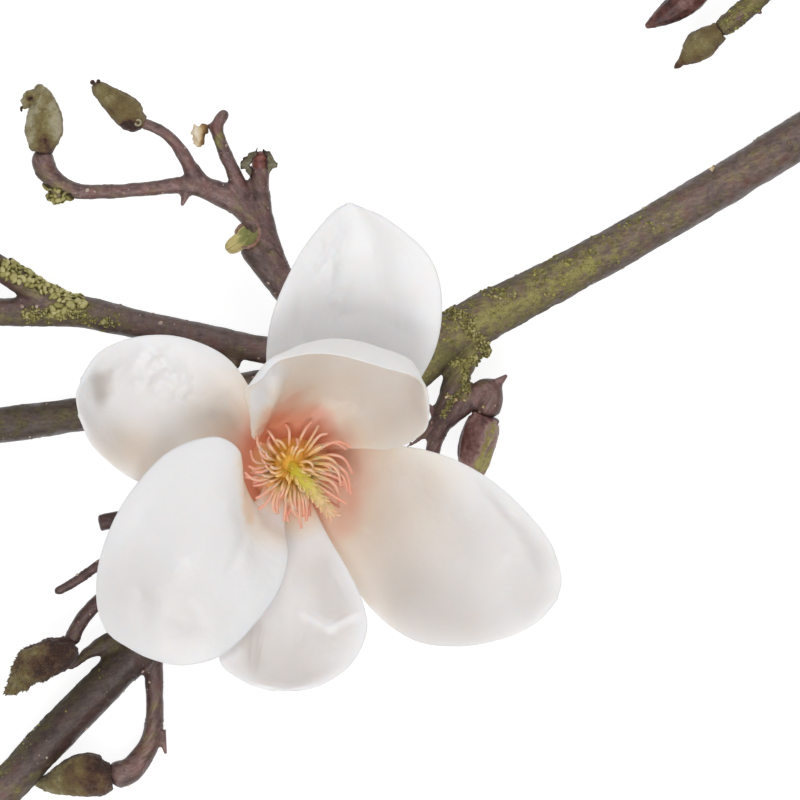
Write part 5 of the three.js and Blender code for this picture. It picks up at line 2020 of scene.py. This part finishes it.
@dataclass(frozen=True)
class Heart:
    """The flower's middle: a leaning column of carpels with a burst of arching stamens round it."""

    core: Route = (
        (-3, 3, FLOWER_CENTRE[2] + CLEARANCE, CORE_RADIUS), (-3, 3, 26, CORE_RADIUS), (-3, 3, 30.5, 3.0),
        (-1.8, 1.8, 34.0, 2.0), (1.4, -1.6, 37.4, 1.8), (5, -6, 40.4, 1.6), (8.6, -10.4, 42.6, 1.2),
        (10.6, -12.8, 43.2, 0.7),
    )
    mound: tuple[tuple[float, float], ...] = (  # radius and height, from the top outwards
        (0.05, 34.6), (3.0, 34.0), (6.6, 32.2), (8.8, 30.4), (10.8, 28.4), (12.4, 26.4),
    )
    carpels: int = 46
    ranks: tuple[tuple[int, float, float, float], ...] = (  # count, least and most length, foot radius
        (62, 0.84, 1.1, 4.6), (40, 0.5, 0.82, 4.0), (18, 0.24, 0.44, 2.3),
    )
    crowd: tuple[float, float] = (0.42, -0.8)  # how much closer they stand on one side, and its way
    sparse: tuple[float, float] = (1.7, 1.0)  # the way and the half width of the side with few
    inner_foot: float = 3.5  # stamens that spring closer than this stand all round
    thickness: float = 0.56
    reach: tuple[float, float, float] = (15.7, 4.2, -0.4)  # mean, how much it leans, and its way
    arch: tuple[float, float] = (8.0, 12.4)  # height of a long stamen's tip above its foot

    def _filament(self, angle: float, share: float, foot: float, random: np.random.Generator) -> Array:
        """One filament's route. Neighbours bend the same way, so that they lie in sheaves.

        Args:
            angle: Its direction in radians.
            share: Its length as a share of a long one's.
            foot: How far from the flower's axis it springs.
            random: The source of its bends.

        Returns:
            Points of x, y, z and radius.
        """
        mean, more, way = self.reach
        total = max((mean + more * math.cos(angle - way)) * share, foot + 1.5)
        bend = 0.1 * math.sin(2 * angle + 1.2) - 0.15 * math.sin(5 * (angle + 1.45))
        bend += random.uniform(-0.09, 0.09)
        hook = random.uniform(-0.18, 0.18) - 0.1 - 0.2 * math.cos(2 * (angle - 0.1))
        lift = random.uniform(*self.arch) * (0.3 + 0.7 * share)
        droop = random.uniform(0.4, 2.6)
        rows = []
        for step in np.linspace(0, 1, 7):
            turn = angle + bend * step**1.4 + hook * step**5
            out = foot + (total - foot) * (step - 0.05 * math.sin(math.pi * step))
            height = 34.6 - foot + lift * (1 - (1 - step) ** 2) * (4.4 / foot) ** 0.3 - droop * step**4
            rows.append((
                FLOWER_CENTRE[0] - 0.8 * step + out * math.cos(turn),
                FLOWER_CENTRE[1] + 0.4 * step + out * math.sin(turn),
                height, self.thickness * (1 - 0.26 * step),
            ))
        return np.array(rows)

    def _stamens(self) -> Shape:
        """Builds all the filaments.

        Returns:
            The filaments, marked with how far each point is towards the tip.
        """
        random = np.random.default_rng(81)
        shapes = []
        for count, least, most, foot in self.ranks:
            for index in range(count):
                angle = (index + random.uniform(-0.4, 0.4)) / count * 2 * math.pi
                angle -= self.crowd[0] * math.sin(angle - self.crowd[1])
                share = random.uniform(least, most)
                way, half = self.sparse
                apart = abs((angle - way + math.pi) % (2 * math.pi) - math.pi)
                if apart < half and index % 3 and foot > self.inner_foot:
                    continue
                thread = sweep(self._filament(angle, share, foot, random), 8, 0.8, False, True)
                part = thread.marks["along"] / thread.marks["along"].max()
                shade = random.uniform(-0.16, 0.16)
                far = part * (0.22 + 0.84 * share) + 0.02
                thread.marks = {"tip": np.clip(far**0.86 + shade * part, 0, 1)}
                shapes.append(thread)
        return join(shapes)

    def _mound(self) -> Shape:
        """Builds the receptacle, a low round mound that closes the flower's foot.

        Returns:
            The mound.
        """
        sides = 64
        turns = np.linspace(0, 2 * math.pi, sides + 1)
        profile = Curve(np.array(self.mound)).at(np.linspace(0, 1, 24))
        flat = profile[:, :1, None] * np.stack([np.cos(turns), np.sin(turns)], axis=0)[None]
        grid = np.stack([
            FLOWER_CENTRE[0] + flat[:, 0], FLOWER_CENTRE[1] + flat[:, 1],
            np.repeat(profile[:, 1:2], sides + 1, axis=1),
        ], axis=2)
        bumps = 0.35 * lattice_noise(grid.reshape(-1, 3), 1.2, 84).reshape(grid.shape[:2])
        grid[..., 2] += bumps * (1 - np.linspace(0, 1, 24)[:, None] ** 2)
        rim = np.repeat(np.linspace(0, 1, 24)[:, None], sides + 1, axis=1)
        return sheet_between(grid[:, ::-1], grid[:, ::-1] - (0, 0, 0.8), {"rim": (rim, rim)})

    def _pistil(self) -> Shape:
        """Builds the core with its hooked carpel tips.

        Returns:
            The pistil, marked with how far each point is towards the top.
        """
        random = np.random.default_rng(82)
        core = sweep(np.array(self.core), 40, 0.4, False, True)
        share = core.marks["along"] / core.marks["along"].max()
        core.points = core.points + core.normals() * (0.2 * lattice_noise(core.points, 1.3, 83))[:, None]
        core.marks = {"tip": np.clip(share * 1.1 - 0.2, 0, 1)}
        axis = Curve(np.array(self.core))
        shapes = [core]
        for index in range(self.carpels):
            place = 0.42 + 0.52 * index / self.carpels
            centre, ahead = axis.at(np.array([place, place + 0.01]))[:, :3]
            tangent = (ahead - centre) / np.linalg.norm(ahead - centre)
            girth = axis.at(np.array([place]))[0, 3]
            angle = index * GOLDEN_ANGLE
            side = np.array([math.cos(angle), math.sin(angle), 0.1])
            side -= tangent * (side @ tangent)
            side /= np.linalg.norm(side)
            length = 1.9 * random.uniform(0.8, 1.2)
            route = [
                (*(centre + side * (girth + out) + tangent * up), size)
                for out, up, size in (
                    (-0.9, -0.8, 0.62), (-0.1, length * 0.2, 0.55), (0.35, length * 0.8, 0.4),
                    (0.9, length * 1.1, 0.22),
                )
            ]
            hook = sweep(np.array(route), 10, 0.3, True, True)
            far = hook.marks["along"] / hook.marks["along"].max()
            hook.marks = {"tip": np.clip(place * 0.85 - 0.05 + 0.22 * far, 0, 1)}
            shapes.append(hook)
        return join(shapes)

    def build(self) -> None:
        """Adds the stamens, the mound and the pistil."""
        add_piece("stamens", self._stamens(), FILAMENT.make(), ["stamens"])
        add_piece("receptacle", self._mound(), RECEPTACLE.make(), ["pistil"])
        add_piece("pistil", self._pistil(), CARPEL.make(), ["pistil"])


# ------------------------------------------------------------------ the studio


@dataclass(frozen=True)
class Lamp:
    """A square lamp that looks at the branch: its power in watts, its width and place in metres."""

    name: str
    power: float
    size: float
    place: tuple[float, float, float]

    def hang(self) -> None:
        """Adds the lamp."""
        data = bpy.data.lights.new(self.name, "AREA")
        data.energy = self.power
        data.size = self.size
        lamp = add_object(self.name, data)
        lamp.location = self.place
        facing = Vector((0, 0, 0)) - Vector(self.place)
        lamp.rotation_euler = facing.to_track_quat("-Z", "Y").to_euler()


@dataclass(frozen=True)
class Studio:
    """A white floor under soft light, and a camera straight above the branch."""

    window: float = 240.0  # width of the surface that the picture shows
    level: float = 25.0  # height at which the window has that width
    middle: tuple[float, float] = (30.0, 22.5)
    lens: float = 800.0
    floor: float = 6.0
    glow: float = 0.86
    sky: float = 0.16
    lamps: tuple[Lamp, ...] = (
        Lamp("ceiling", 9.9, 2.2, (0.0, 0.0, 1.3)), Lamp("key", 7.8, 0.8, (-0.2, -0.95, 1.1)),
        Lamp("fill", 4.5, 0.8, (0.15, 1.0, 0.9)),
    )

    def _camera(self) -> None:
        """Sets the camera."""
        camera = add_object("camera", bpy.data.cameras.new("camera"))
        camera.data.lens = self.lens
        distance = self.lens / camera.data.sensor_width * self.window
        place = (ORIGIN + np.array([*self.middle, self.level + distance])) * MM
        camera.location = Vector(place)
        bpy.context.scene.camera = camera

    def _floor(self) -> None:
        """Lays the floor, a matt white sheet lit a little from below."""
        half = self.floor / 2
        mesh = bpy.data.meshes.new("floor")
        corners = [(-half, -half, 0), (half, -half, 0), (half, half, 0), (-half, half, 0)]
        mesh.from_pydata(corners, [], [(0, 1, 2, 3)])
        floor = add_object("floor", mesh)
        material, tree, shader = start_material("paper_backdrop_matt")
        set_shader(
            tree, shader,
            {
                "Base Color": linear("#9a9a9a"), "Roughness": 0.9, "Specular IOR Level": 0.1,
                "Emission Color": linear("#ffffff"), "Emission Strength": self.glow,
            },
            {},
        )
        mesh.materials.append(material)

    def _light(self) -> None:
        """Hangs a wide soft lamp over the branch, a smaller one below it and a weak one above it."""
        for lamp in self.lamps:
            lamp.hang()
        world = bpy.data.worlds.new("room")
        bpy.context.scene.world = world
        world.use_nodes = True
        background = world.node_tree.nodes["Background"].inputs
        background["Color"].default_value = (1, 1, 1, 1)
        background["Strength"].default_value = self.sky

    def build(self) -> None:
        """Adds the camera, the floor and the light."""
        self._camera()
        self._floor()
        self._light()
        bpy.context.scene.view_settings.view_transform = "Standard"


def main() -> None:
    """Builds the branch and the studio."""
    logging.basicConfig(level=logging.INFO, format="%(name)s: %(message)s")
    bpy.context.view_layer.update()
    Studio().build()
    bark = Wood().build()
    Lichen().build(bark)
    SawnStub().build()
    TornStub().build()
    for bud in BUDS:
        bud.build()
    LooseScales().build()
    LooseBits().build()
    for tepal in TEPALS:
        tepal.build()
    Heart().build()


if __name__ == "__main__":
    main()
